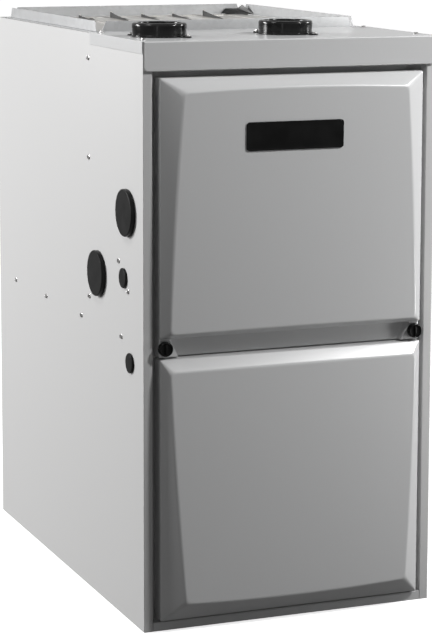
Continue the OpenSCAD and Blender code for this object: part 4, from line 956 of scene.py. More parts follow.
def folded_sheets():
    """The plain folded panels, with their edges broken."""
    for node, width in (("blower_deck", 0.25), ("door_rail", 0.25), ("vest_panel", 0.25), ("hot_header", 1.2),
                        ("control_tray", 0.3), ("junction_box", 0.8), ("burner_box", 0.6),
                        ("motor_mount", 0.5), ("supply_flange_front", 0.2), ("supply_flange_rear", 0.2),
                        ("supply_flange_left", 0.2), ("supply_flange_right", 0.2)):
        slot = "burnished_steel" if node == "hot_header" else "galvanised"
        fixed(edged(node + "_sheet", node, width), slot, node)
    fixed(edged("base_pan_sheet", "base_pan", 0.25), "front_paint", "base_pan")


def top_baffle():
    """The plate round the cells' tops, under the ledge, and a black plate in the far right corner that paints
    the shade there.
    """
    outer, inner, front, back, rear = 205, 163.6, 226, 652, 684
    loop = [(-outer, front), (-inner, front), (-inner, back), (inner, back), (inner, front), (outer, front),
            (outer, rear), (-outer, rear)]
    plate = sheet_piece("top_baffle", [(x, y, 827.4) for x, y in loop], (0, 0, 1.4))
    fixed(plate, "burnished_steel")
    # A black triangular plate: painted shade in the far right corner.
    corner = sheet_piece("corner", [(164, 680.5, 829.6), (205.2, 634, 829.6), (195, 663, 845.6),
                                    (190, 671, 838.5), (172, 680, 838.5)], (1.0, 1.6, 0))
    fixed(corner, "manifold_paint")


def painted_slot_shade(x, tall):
    """Painted shade for one tapering slot: a dark sheet under the open slot, and a dark sheet on the hook's
    inner face at its far end.
    """
    # Both sheets are dark only to paint the shade of the open slot.
    floor = sheet_piece("floor", [(x - 2, 470, 826.0), (x + 2, 470, 826.0), (x + 14.5, 655, 826.0),
                                  (x - 3, 655, 826.0)],
                        (0, 0, 0.7))
    fin = sheet_piece("fin", [(x + 11.2, 651, 828.2), (x + 11.2, 651, 828 + tall * 0.96),
                              (x + 8, 600, 828 + tall * 0.5), (x + 3, 530, 828.4)], (-0.8, 0, 0))
    return [floor, fin]


def exchanger_cells():
    """Pressed clamshell cells. Their seams are spread into a bright top with tapering slots."""
    z0, z1, half_h, half_w, web = 528, 828, 21, 19.8, 1.5
    y0, length, cells_edge = 225.2, 424.6, 164.4
    pitch, steps, sides = (z1 - z0 - 2 * half_h) / 3, 30, 28
    dark = []
    for i in range(CELL_COUNT):
        x = FIRST_CELL + i * CELL_PITCH
        made = []
        for k in range(4):
            middle = z0 + half_h + pitch * k
            top = 13 if k == 3 else half_h
            rings = []
            for j in range(steps + 1):
                y = y0 + length * j / steps
                end = min(j, steps - j)
                swell = (0.72, 0.9, 0.98, 1.0)[min(end, 3)] - (0.05 if end > 3 and j % 3 == 0 else 0)
                ring = []
                for s in range(sides):
                    a = 2 * math.pi * s / sides
                    c, d = math.cos(a), math.sin(a)
                    u = math.copysign(abs(c) ** 0.7, c) * half_w * swell
                    v = math.copysign(abs(d) ** 0.7, d) * (top if d > 0 else half_h) * min(1, swell + 0.08)
                    ring.append((x + u, y, middle + v * 0.99))
                rings.append(ring)
            made.append(lofted("pass", rings, 50))
        made.append(slab("web", (x - web, 225.3, z0 + half_h), (x + web, 649.7, z1 - 2), 0.5, 1))
        first, last = i == 0, i == CELL_COUNT - 1
        left = -cells_edge if first else x - CELL_PITCH / 2 + 0.4
        right = cells_edge if last else x + CELL_PITCH / 2 - 0.4
        loop = [(left, 226.5), (right, 226.5)]
        loop += [(right, 651.6)] if last else [
            (right, 486), (right + 7, 560), (right + 13, 651), (right - 1.5, 651.6)]
        loop += [(left, 651.6)] if first else [
            (left + 33, 651.6), (left + 30, 636), (left + 13, 560), (left + 0.6, 486)]
        made.append(sheet_piece("top", [(px, py, 827.0) for px, py in loop], (0, 0, 1.0)))
        if not last:
            bead = [(right - 0.5, 480, 828.0), (right + 3, 525, 828.4), (right + 7, 566, 828.6),
                    (right + 12.6, 648, 829.2)]
            made.append(tube("bead", bead, 1.3, 8, 5))
            tall = 9.5 if i in (1, 4) else 5.0
            hook = [(right + 12.8, 652, 828), (right + 12.8, 652, 828 + tall),
                    (right + 11.2, 636, 828 + tall * 0.82), (right + 11.4, 634, 828)]
            # The hook plate is a dark sheet: painted shade of the slot's far end.
            dark.append(sheet_piece("hook", hook, (-1.2, 0, 0)))
            rim = [(right + 12.2, 652.8, 828), (right + 12.2, 652.8, 828 + tall * 0.6),
                   (right + 12.2, 652, 828.6 + tall), (right + 10.6, 640, 828.6 + tall * 0.85)]
            made.append(tube("rim", rim, 0.7, 8, 5))
            dark += painted_slot_shade(right, tall)
        fixed(joined("exchanger_cell_%d" % (i + 1), made), "burnished_steel",
             "heat_exchanger_cell_%d" % (i + 1))
    # All the dark hook and slot sheets are painted shade, in the black iron paint.
    fixed(joined("slot_liners", dark), "manifold_paint")


# ---- Burners and gas train ----


def around(centre, radius, count, axis, way, first=0):
    """Evenly turned spots on a circle about an axis through centre, all facing one way."""
    spots = []
    for k in range(count):
        turn = math.radians(first + 360 * k / count)
        place = Vector(centre) + Vector(AXES[axis](radius, math.cos(turn), math.sin(turn), 0))
        spots.append((tuple(place), way))
    return spots


def burner_row():
    """In-shot burners with a flared mouth, a throat and a lobed outlet, and the bars between them."""
    profile = (
        (11.8, 0, 0.3), (13, 0, 0.4), (12.4, 3, 2), (9, 14, 8), (9, 51.8, 6), (15.6, 65.8, 3),
        (15.6, 71.8, 0.3), (14.2, 71.8, 0.3), (14.2, 66.4, 3), (7.6, 52.4, 6), (7.6, 14.6, 8),
    )
    shell = lathe("shell", profile, HERE, "y", sides=40, steps=3)
    lobes = lathe("lobes", box_line(2.5, 14.5, 65, 69, 0.3, 0.4, 0.4, 0.3), HERE, "y", sides=64,
                  steps=2, flutes=(8, 5, 8))
    pitch = (CELL_PITCH, 0, 0)
    row = in_series("row", joined("burner", [shell, lobes]), CELL_COUNT, "burnished_steel",
                    (FIRST_CELL, 153.2, BURNER_Z), pitch)
    bar = slab("bar", (-12, -FRONT - 5, -3.5), (12, -FRONT + 5, 3.5), 0.8)
    bars = in_series("bars", bar, CELL_COUNT - 1, "burnished_steel",
                     (FIRST_CELL + CELL_PITCH / 2, 214, BURNER_Z), pitch)
    fixed(joined("burner_row", [row, bars]), "burnished_steel", "burners")


def gas_pipework():
    """An iron manifold with a hexagon plug, an elbow and a union, and its plated orifice spuds."""
    y, z, x1, r = 138, BURNER_Z, 160, 10.6
    pipe = tube("pipe", [(-140, y, z), (-60, y, z), (60, y, z), (130, y, z), (145.5, y, z - 0.2),
                         (155.7, y, 716.8), (159.8, y, 706.5), (x1, y, 692), (x1, y, 675.2)], r, 32, 5)
    plug = lathe("plug", box_line(0, 9.6, -146, -139, 0, 0.6, 0.3, 0), (0, y, z), "x", 6, 2)
    bands = [
        lathe("band", box_line(r - 0.5, r + 2, h, h + 8, 0.2, 0.8, 0.8, 0.2), centre, axis, 40, 3)
        for h, centre, axis in ((-140, (0, y, z), "x"), (136, (0, y, z), "x"), (699, (x1, y, 0), "z"))
    ]
    union = lathe("union", box_line(r - 0.5, 14.5, 675.3, 687, 0.2, 0.6, 0.6, 0.2),
                  (x1, y, 0), "z", 6, 2)
    fixed(joined("iron_manifold", [pipe, plug, union, *bands]), "manifold_paint", "gas_manifold")
    hexagon = lathe("hexagon", box_line(0, 6.9, 8, 13, 0, 0.2, 0.5, 0), HERE, "y", 6, 2)
    nose = lathe("nose", ((0, 12.8, 0), (5.2, 12.8, 0.1), (5.2, 14.4, 0.3), (3, 15.1, 0.3), (1.2, 15.1, 0.1),
                          (1.2, 14, 0), (0, 14, 0)), HERE, "y", 24, 2)
    spuds = in_series("orifice_spuds", joined("spud", [hexagon, nose]), CELL_COUNT, "screw_steel",
                      (FIRST_CELL, y, z), (CELL_PITCH, 0, 0))
    fixed(spuds, "screw_steel")


def gas_valve():
    """A cast body with a front cover, regulator cap, terminal block and inlet boss, and its fluted knob."""
    x, y0, z_knob = 160, 107, 641
    body = slab("body", (x - 33, y0 + 3, 597), (x + 33, 169, 675), 2.6, 3)
    cover = slab("cover", (x - 31, y0, 599), (x + 31, y0 + 3.5, 673), 1.0)
    boss = lathe("boss", box_line(10.4, 13.4, 587, 597.5, 0.6, 1.2, 0.3, 0.2), (x, 138, 0), "z", 8, 2)
    spindle = lathe("spindle", box_line(0, 4, 95, y0 + 1, 0, 0.6, 0, 0), (x, 0, z_knob), "y", 32, 3)
    cap = lathe("cap", ((0, 101.6, 0), (2.6, 101.6, 0.2), (3, 100.4, 0.2), (6.6, 100.4, 0.5),
                        (7.4, 103.4, 0.4), (9, 103.8, 0.5), (9, y0 + 1, 0), (0, y0 + 1, 0)), (148, 0, 612),
                "y", 48, 3, (24, 0.3, 8.5))
    ribs = [slab("rib", (x - 33.0, 116 + 9 * k, 606), (x - 31.6, 119 + 9 * k, 666), 0.5, 1) for k in range(5)]
    fixed(joined("cast_gas_valve", [body, cover, boss, spindle, cap, *ribs]), "valve_aluminium", "gas_valve")
    block = slab("block", (163, 101.5, 603), (181, y0 + 0.4, 613), 0.7)
    fixed(block, "plug_plastic").name = "valve_terminal_block"
    blades = [blade((166 + 6 * k, 96.5, 605.5), (166.8 + 6 * k, 101.8, 610.5)) for k in range(3)]
    fixed(joined("valve_terminals", blades), "screw_steel")
    spots = [((x + sx * 26.5, y0, z), FORWARD) for sx in (-1, 1) for z in (604.5, 667.5)]
    screws_at("valve_cover_screws", spots, 0.8)

    disc = lathe(
        "disc", ((0, 90.9, 0), (11.5, 90.9, 0.8), (12.2, 91.6, 0.3), (14.2, 90.7, 0.6), (15, 92, 0.8),
                 (15, 106.7, 0.5), (4.3, 106.7, 0.2), (4.3, 94.6, 0), (0, 94.6, 0)),
        (x, 0, z_knob), "y", 96, 3, (20, 0.6, 14.4),
    )
    grip = slab("grip", (x - 3, 84.7, z_knob - 14), (x + 3, 91.5, z_knob + 14), 1.6, 3)
    done(joined("gas_knob", [disc, grip]), "knob_plastic", "gas_valve_knob", "gas_valve_knob")


def flame_rods():
    """Grooved ceramic holders with a plate and a metal rod."""
    for node, x in (("igniter", -160), ("flame_sensor", 160)):
        profile = [(0, 142, 0), (4.4, 142, 0.6), (5.2, 143.6, 0.4), (6, 144.4, 0.4)]
        for y in (154, 158, 162):
            profile += [(6, y, 0.3), (5, y + 0.6, 0.3), (5, y + 1.6, 0.3), (6, y + 2.2, 0.3)]
        profile += [(6, 170.5, 1.2), (3, 172, 0.6), (0, 172, 0)]
        holder = lathe("holder", profile, (x, 0, 753), "y", 40, 2)
        plate = slab("plate", (x - 9, 150, 744), (x + 9, 152, 762), 0.5)
        fixed(joined(node + "_holder", [holder, plate]), "ceramic_white", node)
        rod = lathe(node + "_rod", box_line(0, 1.5, 171.8, 198, 0, 0.1, 1.2, 0), (x, 0, 753), "y", 20, 3)
        fixed(rod, "screw_steel")


def safety_switches():
    """Snap discs in their plates, each with two blades."""
    x, z = -60, 561
    plate = slab("plate", (x - 16, 222, z - 12), (x + 16, 224, z + 12), 0.5)
    disc = lathe("disc", ((0, 212, 0), (6.4, 212, 0.6), (7.2, 214.4, 0.4), (9, 214.8, 0.6), (9, 222.4, 0.2),
                          (0, 222.4, 0)),
                 (x, 0, z), "y", 48, 3)
    fixed(joined("limit_switch_body", [plate, disc]), "plug_plastic", "limit_switch")
    made, blades, screws = [], [], [((x + s * 12.4, 222, z), FORWARD) for s in (-1, 1)]
    for s in (-1, 1):
        blades.append(blade((x + s * 3.4 - 0.4, 206.5, z - 2.6), (x + s * 3.4 + 0.4, 212.3, z + 2.6)))
    for way in (-1, 1):
        cx, cy, cz = way * 152, 188, 773
        made.append(slab("plate", (cx - 14, cy - 8, cz), (cx + 14, cy + 8, cz + 2), 0.5))
        made.append(lathe("cap", ((0, cz + 1.8, 0), (8, cz + 1.8, 0.2), (8, cz + 6, 0.6),
                                  (6.4, cz + 6.5, 0.4), (6, cz + 9, 0.6), (0, cz + 9, 0)), (cx, cy, 0), "z",
                          48, 3))
        screws += [((cx + s * 11, cy, cz + 2), (0, 0, 1)) for s in (-1, 1)]
        for s in (-1, 1):
            blades.append(blade((cx + s * 3 - 0.4, cy - 2.6, cz + 8.8),
                                (cx + s * 3 + 0.4, cy + 2.6, cz + 14)))
    fixed(joined("rollout_switch_bodies", made), "plug_plastic", "rollout_switches")
    fixed(joined("switch_blades", blades), "screw_steel")
    screws_at("switch_screws", screws, 0.6)


# ---- Coil, draught inducer and drain ----


def coil():
    """Rippled fins on the coil's tubes, between two thicker end plates."""
    half, low, high, folds = 180, 438, 510, 8
    count, pitch = 65, 6.02
    outline_yz = [(1.1 if k % 2 else -1.1, low + (high - low) * k / folds) for k in range(folds + 1)]
    outline_yz += [(y + 0.45, z) for y, z in reversed(outline_yz)]
    fin = lofted("fin", [[(x, y - FRONT, z) for y, z in outline_yz] for x in (-half, half)])
    fins = in_series("fins", fin, count, "fin_aluminium", (0, 250, 0), (0, pitch, 0))
    plates = [slab("plate", (-half, y, low), (half, y + 1.5, high), 0.3, 1) for y in (245, 638.5)]
    fixed(joined("coil_fin_pack", [fins, *plates]), "fin_aluminium", "coil_fins")
    tubes = []
    for x in (-116, -58, 0, 58, 116):
        for z in (456, 492):
            profile = [(6.5, 222, 0.3), (8, 222, 0.7)]
            for y in range(270, 640, 60):
                profile += [(8, y, 1), (7.5, y + 3, 1), (8, y + 6, 1)]
            profile += [(8, 653.2, 0.7), (6.5, 653.2, 0.3)]
            tubes.append(lathe("tube", profile, (x, 0, z), "y", 32, 2))
    fixed(joined("coil_tube_bank", tubes), "coil_tube_steel", "coil_tubes")


def collector():
    """The collector box with its ribs, its rim round the inducer's inlet and its screws."""
    box = edged("collector_shell", "collector_box", 1.4, segments=3)
    ribs = [rib_run((-167, 194.4, 440), (-165, 196.6, 528), 3, (10, 0, 0)),
            rib_run((-52, 194.4, 440), (-50, 196.6, 528), 11, (17, 0, 0))]
    rim = lathe("rim", box_line(30.2, 35, 193.5, 196.5, 0.4, 0.8, 0.3, 0.2), (INDUCER_X, 0, INDUCER_Z), "y",
                64, 3)
    fixed(joined("collector_shell", [box, *ribs, rim]), "collector_plastic", "collector_box")
    spots = [(x, z) for z in (436.5, 531) for x in (-160, -60, -8.5, 42.5, 110)]
    screws_at("collector_screws", [((x, 196, z), FORWARD) for x, z in spots], 0.8)


def inducer():
    """The ribbed inducer housing with its clamp, the fluted motor and the bladed wheel."""
    x, z, front = INDUCER_X, INDUCER_Z, 72
    drum = edged("inducer_shell", "inducer_housing", 1.2, segments=3)
    rib = slab("rib", (40, -FRONT - 1.6, -1.1), (67, -FRONT + 0.3, 1.1), 0.4, 1)
    ribs = in_series("ribs", rib, 12, "collector_plastic", (x, front, z), turn=(0, 30, 0))
    flange = lathe("flange", box_line(69, 73.5, 95, 101, 0.2, 0.7, 0.7, 0.2), (x, 0, z), "y", 96, 3)
    ring = lathe("ring", box_line(37, 40.5, 70.2, 72.4, 0.3, 0.6, 0.2, 0.2), (x, 0, z), "y", 72, 3)
    fixed(joined("inducer_shell", [drum, ribs, flange, ring]), "collector_plastic", "inducer_housing")
    screws_at("inducer_screws", around((x, front, z), 60, 6, "y", FORWARD, 15), 0.9)

    band = lathe("band", box_line(34.2, 35.3, 588, 597, 0.2, 0.4, 0.4, 0.2), FLUE, "z", 96, 2)
    worm = slab("worm", (-169, 61, 589.5), (-155, 65, 595.5), 0.9)
    fixed(joined("exhaust_clamp", [band, worm]), "screw_steel")

    motor = lathe(
        "fluted_inducer_motor",
        ((0, 28, 0), (9, 28, 0.7), (10, 30.2, 0.7), (26, 30.6, 2), (33.5, 34, 3), (36, 38, 2), (36, 66, 1.5),
         (33.5, 69, 1), (33.5, 72, 0.3), (4.6, 72, 0.2), (4.6, 36.6, 0), (0, 36.6, 0)),
        (x, 0, z), "y", 144, 3, (36, 1.0, 35),
    )
    fixed(motor, "motor_paint", "inducer_motor")
    screws_at("inducer_motor_bolts", around((x, 30.5, z), 20, 4, "y", FORWARD, 45), 0.6)

    wheel = lathe(
        "wheel",
        ((0, 38, 0), (4, 38, 0.5), (4, 82, 0.3), (54, 82, 0.4), (56, 82.4, 0.3), (56, 84, 0.4),
         (10.5, 84, 1), (9, 86, 0.6), (9, 96, 0.6), (4.6, 96, 0.3), (4, 95, 0.2), (0, 95, 0)),
        (x, 0, z), "y", 96, 3,
    )
    strip = []
    for side, order in ((1, range(8)), (-1, reversed(range(8)))):
        for k in order:
            r = 8 + 47 * k / 7
            lag = math.radians(30) * (k / 7) ** 1.3
            strip.append((r * math.cos(lag) - side * math.sin(lag), r * math.sin(lag) + side * math.cos(lag)))
    vane = lofted("vane", [[(u, y - FRONT, v) for u, v in strip] for y in (1.6, 26)])
    vanes = in_series("vanes", vane, 10, "wheel_steel", (x, 82, z), turn=(0, 36, 0))
    done(joined("inducer_impeller", [wheel, vanes]), "wheel_steel", "inducer_rotor", "inducer_wheel")


def vent_pipe():
    """The white exhaust pipe, with a joint above its clamp."""
    pipe = lathe("vent_pipe", ((26.15, 575, 0.5), (30.15, 575, 1.6), (30.15, 604, 0.2), (30.0, 604.8, 0.2),
                               (30.15, 605.6, 0.2), (30.15, 813, 1.6), (26.15, 813, 0.5)), FLUE, "z", 96, 3)
    fixed(pipe, "pipe_plastic", "exhaust_pipe")


def pressure_switch():
    """A crimped diaphragm drum with a barbed port and two blades."""
    x, z = 60, 566
    drum = lathe(
        "diaphragm_drum",
        ((0, 186, 0), (1.9, 186, 0.3), (2.7, 188.4, 0.2), (2.2, 188.8, 0.1), (2.7, 191, 0.2),
         (2.3, 191.4, 0.1), (2.4, 198.2, 0.6), (9, 198.2, 0.8), (11, 200.4, 1), (22, 201, 1),
         (23.5, 203.4, 0.8), (26, 204, 0.6), (26, 208.6, 0.6), (24.8, 209.2, 0.2), (24.8, 210.6, 0.2),
         (26, 211.2, 0.5), (26, 215, 0.8), (20, 220, 2), (19, 224, 0.3), (0, 224, 0)),
        (x, 0, z), "y", 72, 3,
    )
    foot = slab("foot", (x - 25, 221.6, z - 12), (x + 25, 224, z + 12), 0.6)
    fixed(joined("diaphragm_drum", [drum, foot]), "plug_plastic", "pressure_switch")
    blades = [blade((x + s * 12 - 3, 194, z - 10.4), (x + s * 12 + 3, 201, z - 9.6)) for s in (-1, 1)]
    fixed(joined("pressure_switch_blades", blades), "screw_steel")


def hoses():
    """The two fixed rubber hoses with a plated spring clamp at each end."""
    rows = (
        ("pressure_hose", [(60, 186, 566), (60, 172, 566), (52, 160, 570), (32, 150, 580), (2, 140, 590),
                           (-28, 128, 596), (-52, 114, 596), (-66, 104, 590), (-72, 99, 582), (-72, 99, 574)],
         ((181, (60, 0, 566), "y"), (576, (-72, 99, 0), "z"))),
        ("drain_hose", [(132, 210, 446), (140, 210, 446), (150, 206, 444), (160, 196, 440), (168, 180, 437),
                        (174, 164, 436), (176, 152, 436), (176, 144, 436)],
         ((133.4, (0, 210, 446), "x"), (145, (176, 0, 436), "y"))),
    )
    clamps = []
    for node, path, ends in rows:
        fixed(tube(node + "_rubber", path, 3.2, 20, 8), "hose_rubber", node)
        for h, centre, axis in ends:
            clamps.append(lathe("clamp", box_line(3.1, 4.1, h, h + 3.4, 0.1, 0.3, 0.3, 0.1), centre, axis,
                                24, 2))
    fixed(joined("hose_clamps", clamps), "screw_steel")


def condensate_trap():
    """A ribbed tank under an overlapping lid."""
    tank = edged("trap_tank", "condensate_trap", 2.0, segments=3)
    lid = slab("lid", (156.2, 99.2, 463), (195.8, 144.8, 470.6), 1.2)
    ribs = rib_run((161, 98.8, 424), (162.8, 100.6, 459), 4, (9.4, 0, 0))
    fixed(joined("trap_tank", [tank, lid, ribs]), "collector_plastic", "condensate_trap")


def box_screws():
    """The junction box's cover, and the screws of the sheet metal inside."""
    cover = slab("junction_box_cover", (-199.7, 49, 464), (-198.4, 114, 528), 0.4)
    fixed(cover, "galvanised")
    screws_at("junction_cover_screws", [((-198.4, 56, z), (1, 0, 0)) for z in (471, 521)], 0.8)
    spots = [((x, 152, z), FORWARD) for x in (-166, 0, 167) for z in (683, 767)]
    spots += [((s * 192, 224, z), FORWARD) for s in (-1, 1) for z in (450, 560, 670, 770)]
    spots += [((s * 155, 70, z), FORWARD) for s in (-1, 1) for z in (265, 400)]
    spots += [((s * 90, 17, 399), FORWARD) for s in (-1, 1)]
    screws_at("panel_screws", spots)


# ---- Blower and controls ----


def blower_housing():
    """The scroll with a bead along each rim, bell mouths and rivets."""
    y, z, half = WHEEL_Y, WHEEL_Z, 115
    made = [edged("scroll", "blower_housing", 0.5)]
    steps, start, sweep = 36, 78, 282
    line = []
    for k in range(steps + 1):
        a = math.radians(start + sweep * k / steps)
        r = 142 + 48 * (math.degrees(a) - 75) / 285 - 1  # the scroll's own growth, drawn in by 1
        line.append((y + r * math.cos(a), z + r * math.sin(a)))
    line += [(589, 270), (589, 340), (589, 414)]
    for way in (-1, 1):
        made.append(tube("bead", [(way * (half - 0.6), *p) for p in line], 1.7, 8, 1))
        bell = ((109.5, 114.6, 0.3), (109.5, 116, 0.4), (105, 116, 1.6), (101.4, 106, 0.6),
                (102.4, 105.6, 0.3), (105, 114.4, 1))
        made.append(lathe("bell", [(r, way * h, c) for r, h, c in bell], (0, y, z), "x", 96, 4))
    fixed(joined("blower_scroll", made), "galvanised", "blower_housing")
    dome = lathe("dome", ((0, 0, 0), (2.8, 0, 0.1), (2.4, 1.1, 0.6), (0, 1.4, 0)), HERE, "z", 12, 2)
    spots = [spot for way in (-1, 1) for spot in around((way * half, y, z), 112.5, 9, "x", (way, 0, 0), 10)]
    fixed(on_spots("scroll_rivets", dome, spots, "screw_steel"), "screw_steel")
    screws_at("motor_mount_bolts", around((-118, y, z), 111, 3, "x", (-1, 0, 0), 30), 1.3)


def blower_wheel():
    """A forward curved wheel: end rings, a pressed centre disc with a hub, and curved blades."""
    y, z, count = WHEEL_Y, WHEEL_Z, 44
    rings = []
    for way in (-1, 1):
        ring = box_line(115, 127, 97, 100, 0.8, 0.6, 1.4, 1.2)
        rings.append(lathe("ring", [(r, way * h, c) for r, h, c in ring], (0, y, z), "x", 96, 3))
    disc = lathe(
        "disc",
        ((6.5, 8, 0.4), (15.35, 8, 0.8), (15.35, 22, 0.6), (40, 22, 2), (46, 23.4, 2), (96, 23.4, 2),
         (102, 22, 2), (125, 22, 0.6), (125, 25, 0.6), (15.35, 25, 1), (15.35, 40, 0.8), (6.5, 40, 0.4)),
        (0, y, z), "x", 96, 3,
    )
    strip = []
    for side, order in ((0.5, range(7)), (-0.5, reversed(range(7)))):
        for k in order:
            t = k / 6
            r, lean = 115.2 + 11.2 * t, -0.062 * (1 - t) ** 1.7
            strip.append(((r + side * 0.4) * math.sin(lean) + side, (r + side * 0.4) * math.cos(lean)))
    vane = lofted("blade", [[(x, u - FRONT, v) for u, v in strip] for x in (-98.6, 98.6)])
    blades = in_series("blades", vane, count, "wheel_steel", (0, y, z), turn=(360 / count, 0, 0))
    done(joined("blower_impeller", [*rings, disc, blades]), "wheel_steel", "blower_rotor", "blower_wheel")
    shaft = lathe("ground_shaft", box_line(0, 6.35, -100, 44, 0, 0.8, 0.8, 0), (0, y, z), "x", 48, 3)
    flat = slab("flat", (2, y - 8, z + 5.4), (46, y + 8, z + 8), 0)
    combined("DIFFERENCE", shaft, flat)
    smooth_shade(shaft.data)
    done(shaft, "wheel_steel", "blower_rotor", "blower_shaft")


def blower_motor():
    """A ribbed motor shell with vented end bells."""
    y, z = WHEEL_Y, WHEEL_Z
    profile = [(0, -127, 0), (19, -127, 0.8), (20.5, -125.8, 0.5), (52, -125.8, 1), (60, -125.2, 1),
               (62, -123.6, 1)]
    for h in (-104, -78, -52, -26):
        profile += [(62, h, 0.4), (61, h + 0.8, 0.3), (61, h + 3.2, 0.3), (62, h + 4, 0.4)]
    profile += [(62, -14, 4), (54, -7.4, 2.5), (20, -6.4, 1), (17, -5, 0.6), (6.8, -5, 0.3), (6.8, -101, 0),
                (0, -101, 0)]
    shell = lathe("ribbed_motor", profile, (0, y, z), "x", 96, 3)
    vents = []
    for k in range(6):
        a = math.radians(60 * k)
        vents.append(lathe("vent", box_line(0, 13.6, -130, -15, 0, 0, 2, 0),
                           (0, y + 34.2 * math.cos(a), z + 34.2 * math.sin(a)), "x", 32, 3))
    combined("DIFFERENCE", shell, *vents)
    smooth_shade(shell.data)
    fixed(shell, "motor_paint", "blower_motor")
    screws_at("motor_bolts", around((-125.8, y, z), 55, 4, "x", (-1, 0, 0), 30), 0.9)


def control_board():
    """The board with its posts, relays, terminal strip, capacitors and tinned blades."""
    x0, z0, face = -150, 272, 61
    board = slab("board", (x0, face, z0), (30, 62.6, 390), 0.2, 1)
    posts = [lathe("post", ((0, 58.8, 0), (2.2, 58.8, 0.6), (3, 60.4, 0.4), (3, 70, 0.1), (0, 70, 0)),
                   (x, 0, z), "y", 20, 2)
             for x in (-142, 22) for z in (280, 382)]
    fixed(joined("circuit_board", [board, *posts]), "board_green", "control_board")
    parts = [slab("relay", (x0 + 16 + 28 * k, 45, 342), (x0 + 34 + 28 * k, face + 0.2, 366),
                  0.8) for k in range(4)]
    parts.append(slab("strip", (-130, 52, 288), (-30, face + 0.2, 300), 0.6))
    parts += [slab("wall", (x, 50.6, 288), (x + 1.2, 53, 300), 0.3, 1) for x in range(-130, -29, 10)]
    parts += [slab("chip", (x, 58, z), (x + 9, face + 0.2, z + 22), 0.4, 1) for x,
              z in ((-118, 310), (-92, 312), (-60, 308))]
    parts.append(lathe("buzzer", ((0, 54, 0), (1.6, 54, 0.1), (2, 54.8, 0.1), (6, 54, 0.6),
                                  (6, face + 0.2, 0.1), (0, face + 0.2, 0)),
                       (6, 0, 352), "y", 32, 2))
    fixed(joined("board_parts", parts), "plug_plastic")
    tin = []
    for x, z, r, h in ((-24, 316, 5, 14), (-8, 318, 5, 14), (8, 316, 6.2, 17)):
        tin.append(lathe("can", ((0, face - h + 0.4, 0), (r - 1.4, face - h + 0.4, 0.3),
                                 (r - 1, face - h, 0.3), (r, face - h + 0.6, 0.5), (r, face - 2.6, 0.3),
                                 (r - 0.6, face - 2, 0.3), (r, face - 1.4, 0.3), (r, face + 0.2, 0.1),
                                 (0, face + 0.2, 0)), (x, 0, z), "y", 32, 2))
    tin += [blade((x, 53, 377), (x + 0.8, face + 0.2, 383)) for x in range(-128, -20, 12)]
    fixed(joined("board_cans", tin), "screw_steel")
    screws_at("terminal_screws", [((-124.4 + 10 * k, 52, 294), FORWARD) for k in range(10)], 0.55)


def transformer():
    """A laminated core with a wound bobbin through it, on a folded foot."""
    x0, x1, z0, z1 = 60, 112, 272, 322
    sheet = slab("sheet", (-26, -FRONT - 1.3, -25), (26, -FRONT + 1.3, 25), 0.25, 1)
    core = in_series("core", sheet, 13, "motor_paint", (86, 33, 297), (0, 2.75, 0))
    bobbin = slab("bobbin", (66, 26, 282), (106, 69, 312), 3.6, 4)
    foot = slab("foot", (x0 - 12, 68, z0), (x1 + 12, 70, z1), 0.5)
    yoke = [slab("yoke", (x, 30, z0 + 2), (x + 1.2, 68.5, z1 - 2), 0.4, 1) for x in (x0 - 0.4, x1 - 0.8)]
    fixed(joined("laminated_transformer", [core, bobbin, foot, *yoke]), "motor_paint", "transformer")
    screws_at("transformer_screws", [((x, 68, 297), FORWARD) for x in (x0 - 6, x1 + 6)])


def door_switch():
    """A snap-in switch with a bezel, and the domed plunger that the lower door presses."""
    x, z = 118, 362
    body = edged("switch_body", "door_switch", 1.0)
    bezel = lathe("bezel", ((3.6, 21.2, 0.3), (8.5, 21.2, 0.8), (9.2, 22.4, 0.1), (3.6, 22.4, 0.1)),
                  (x, 0, z), "y", 40, 3)
    fixed(joined("switch_body", [body, bezel]), "plug_plastic", "door_switch")
    plunger = lathe("switch_plunger", ((0, 17, 0), (2.0, 17, 1.2), (3, 18.4, 0.9), (3, 41, 0.4), (0, 41, 0)),
                    (x, 0, z), "y", 32, 4)
    done(plunger, "pipe_plastic", "door_switch_plunger", "door_switch_plunger")


# ---- Insulation of the lower door ----


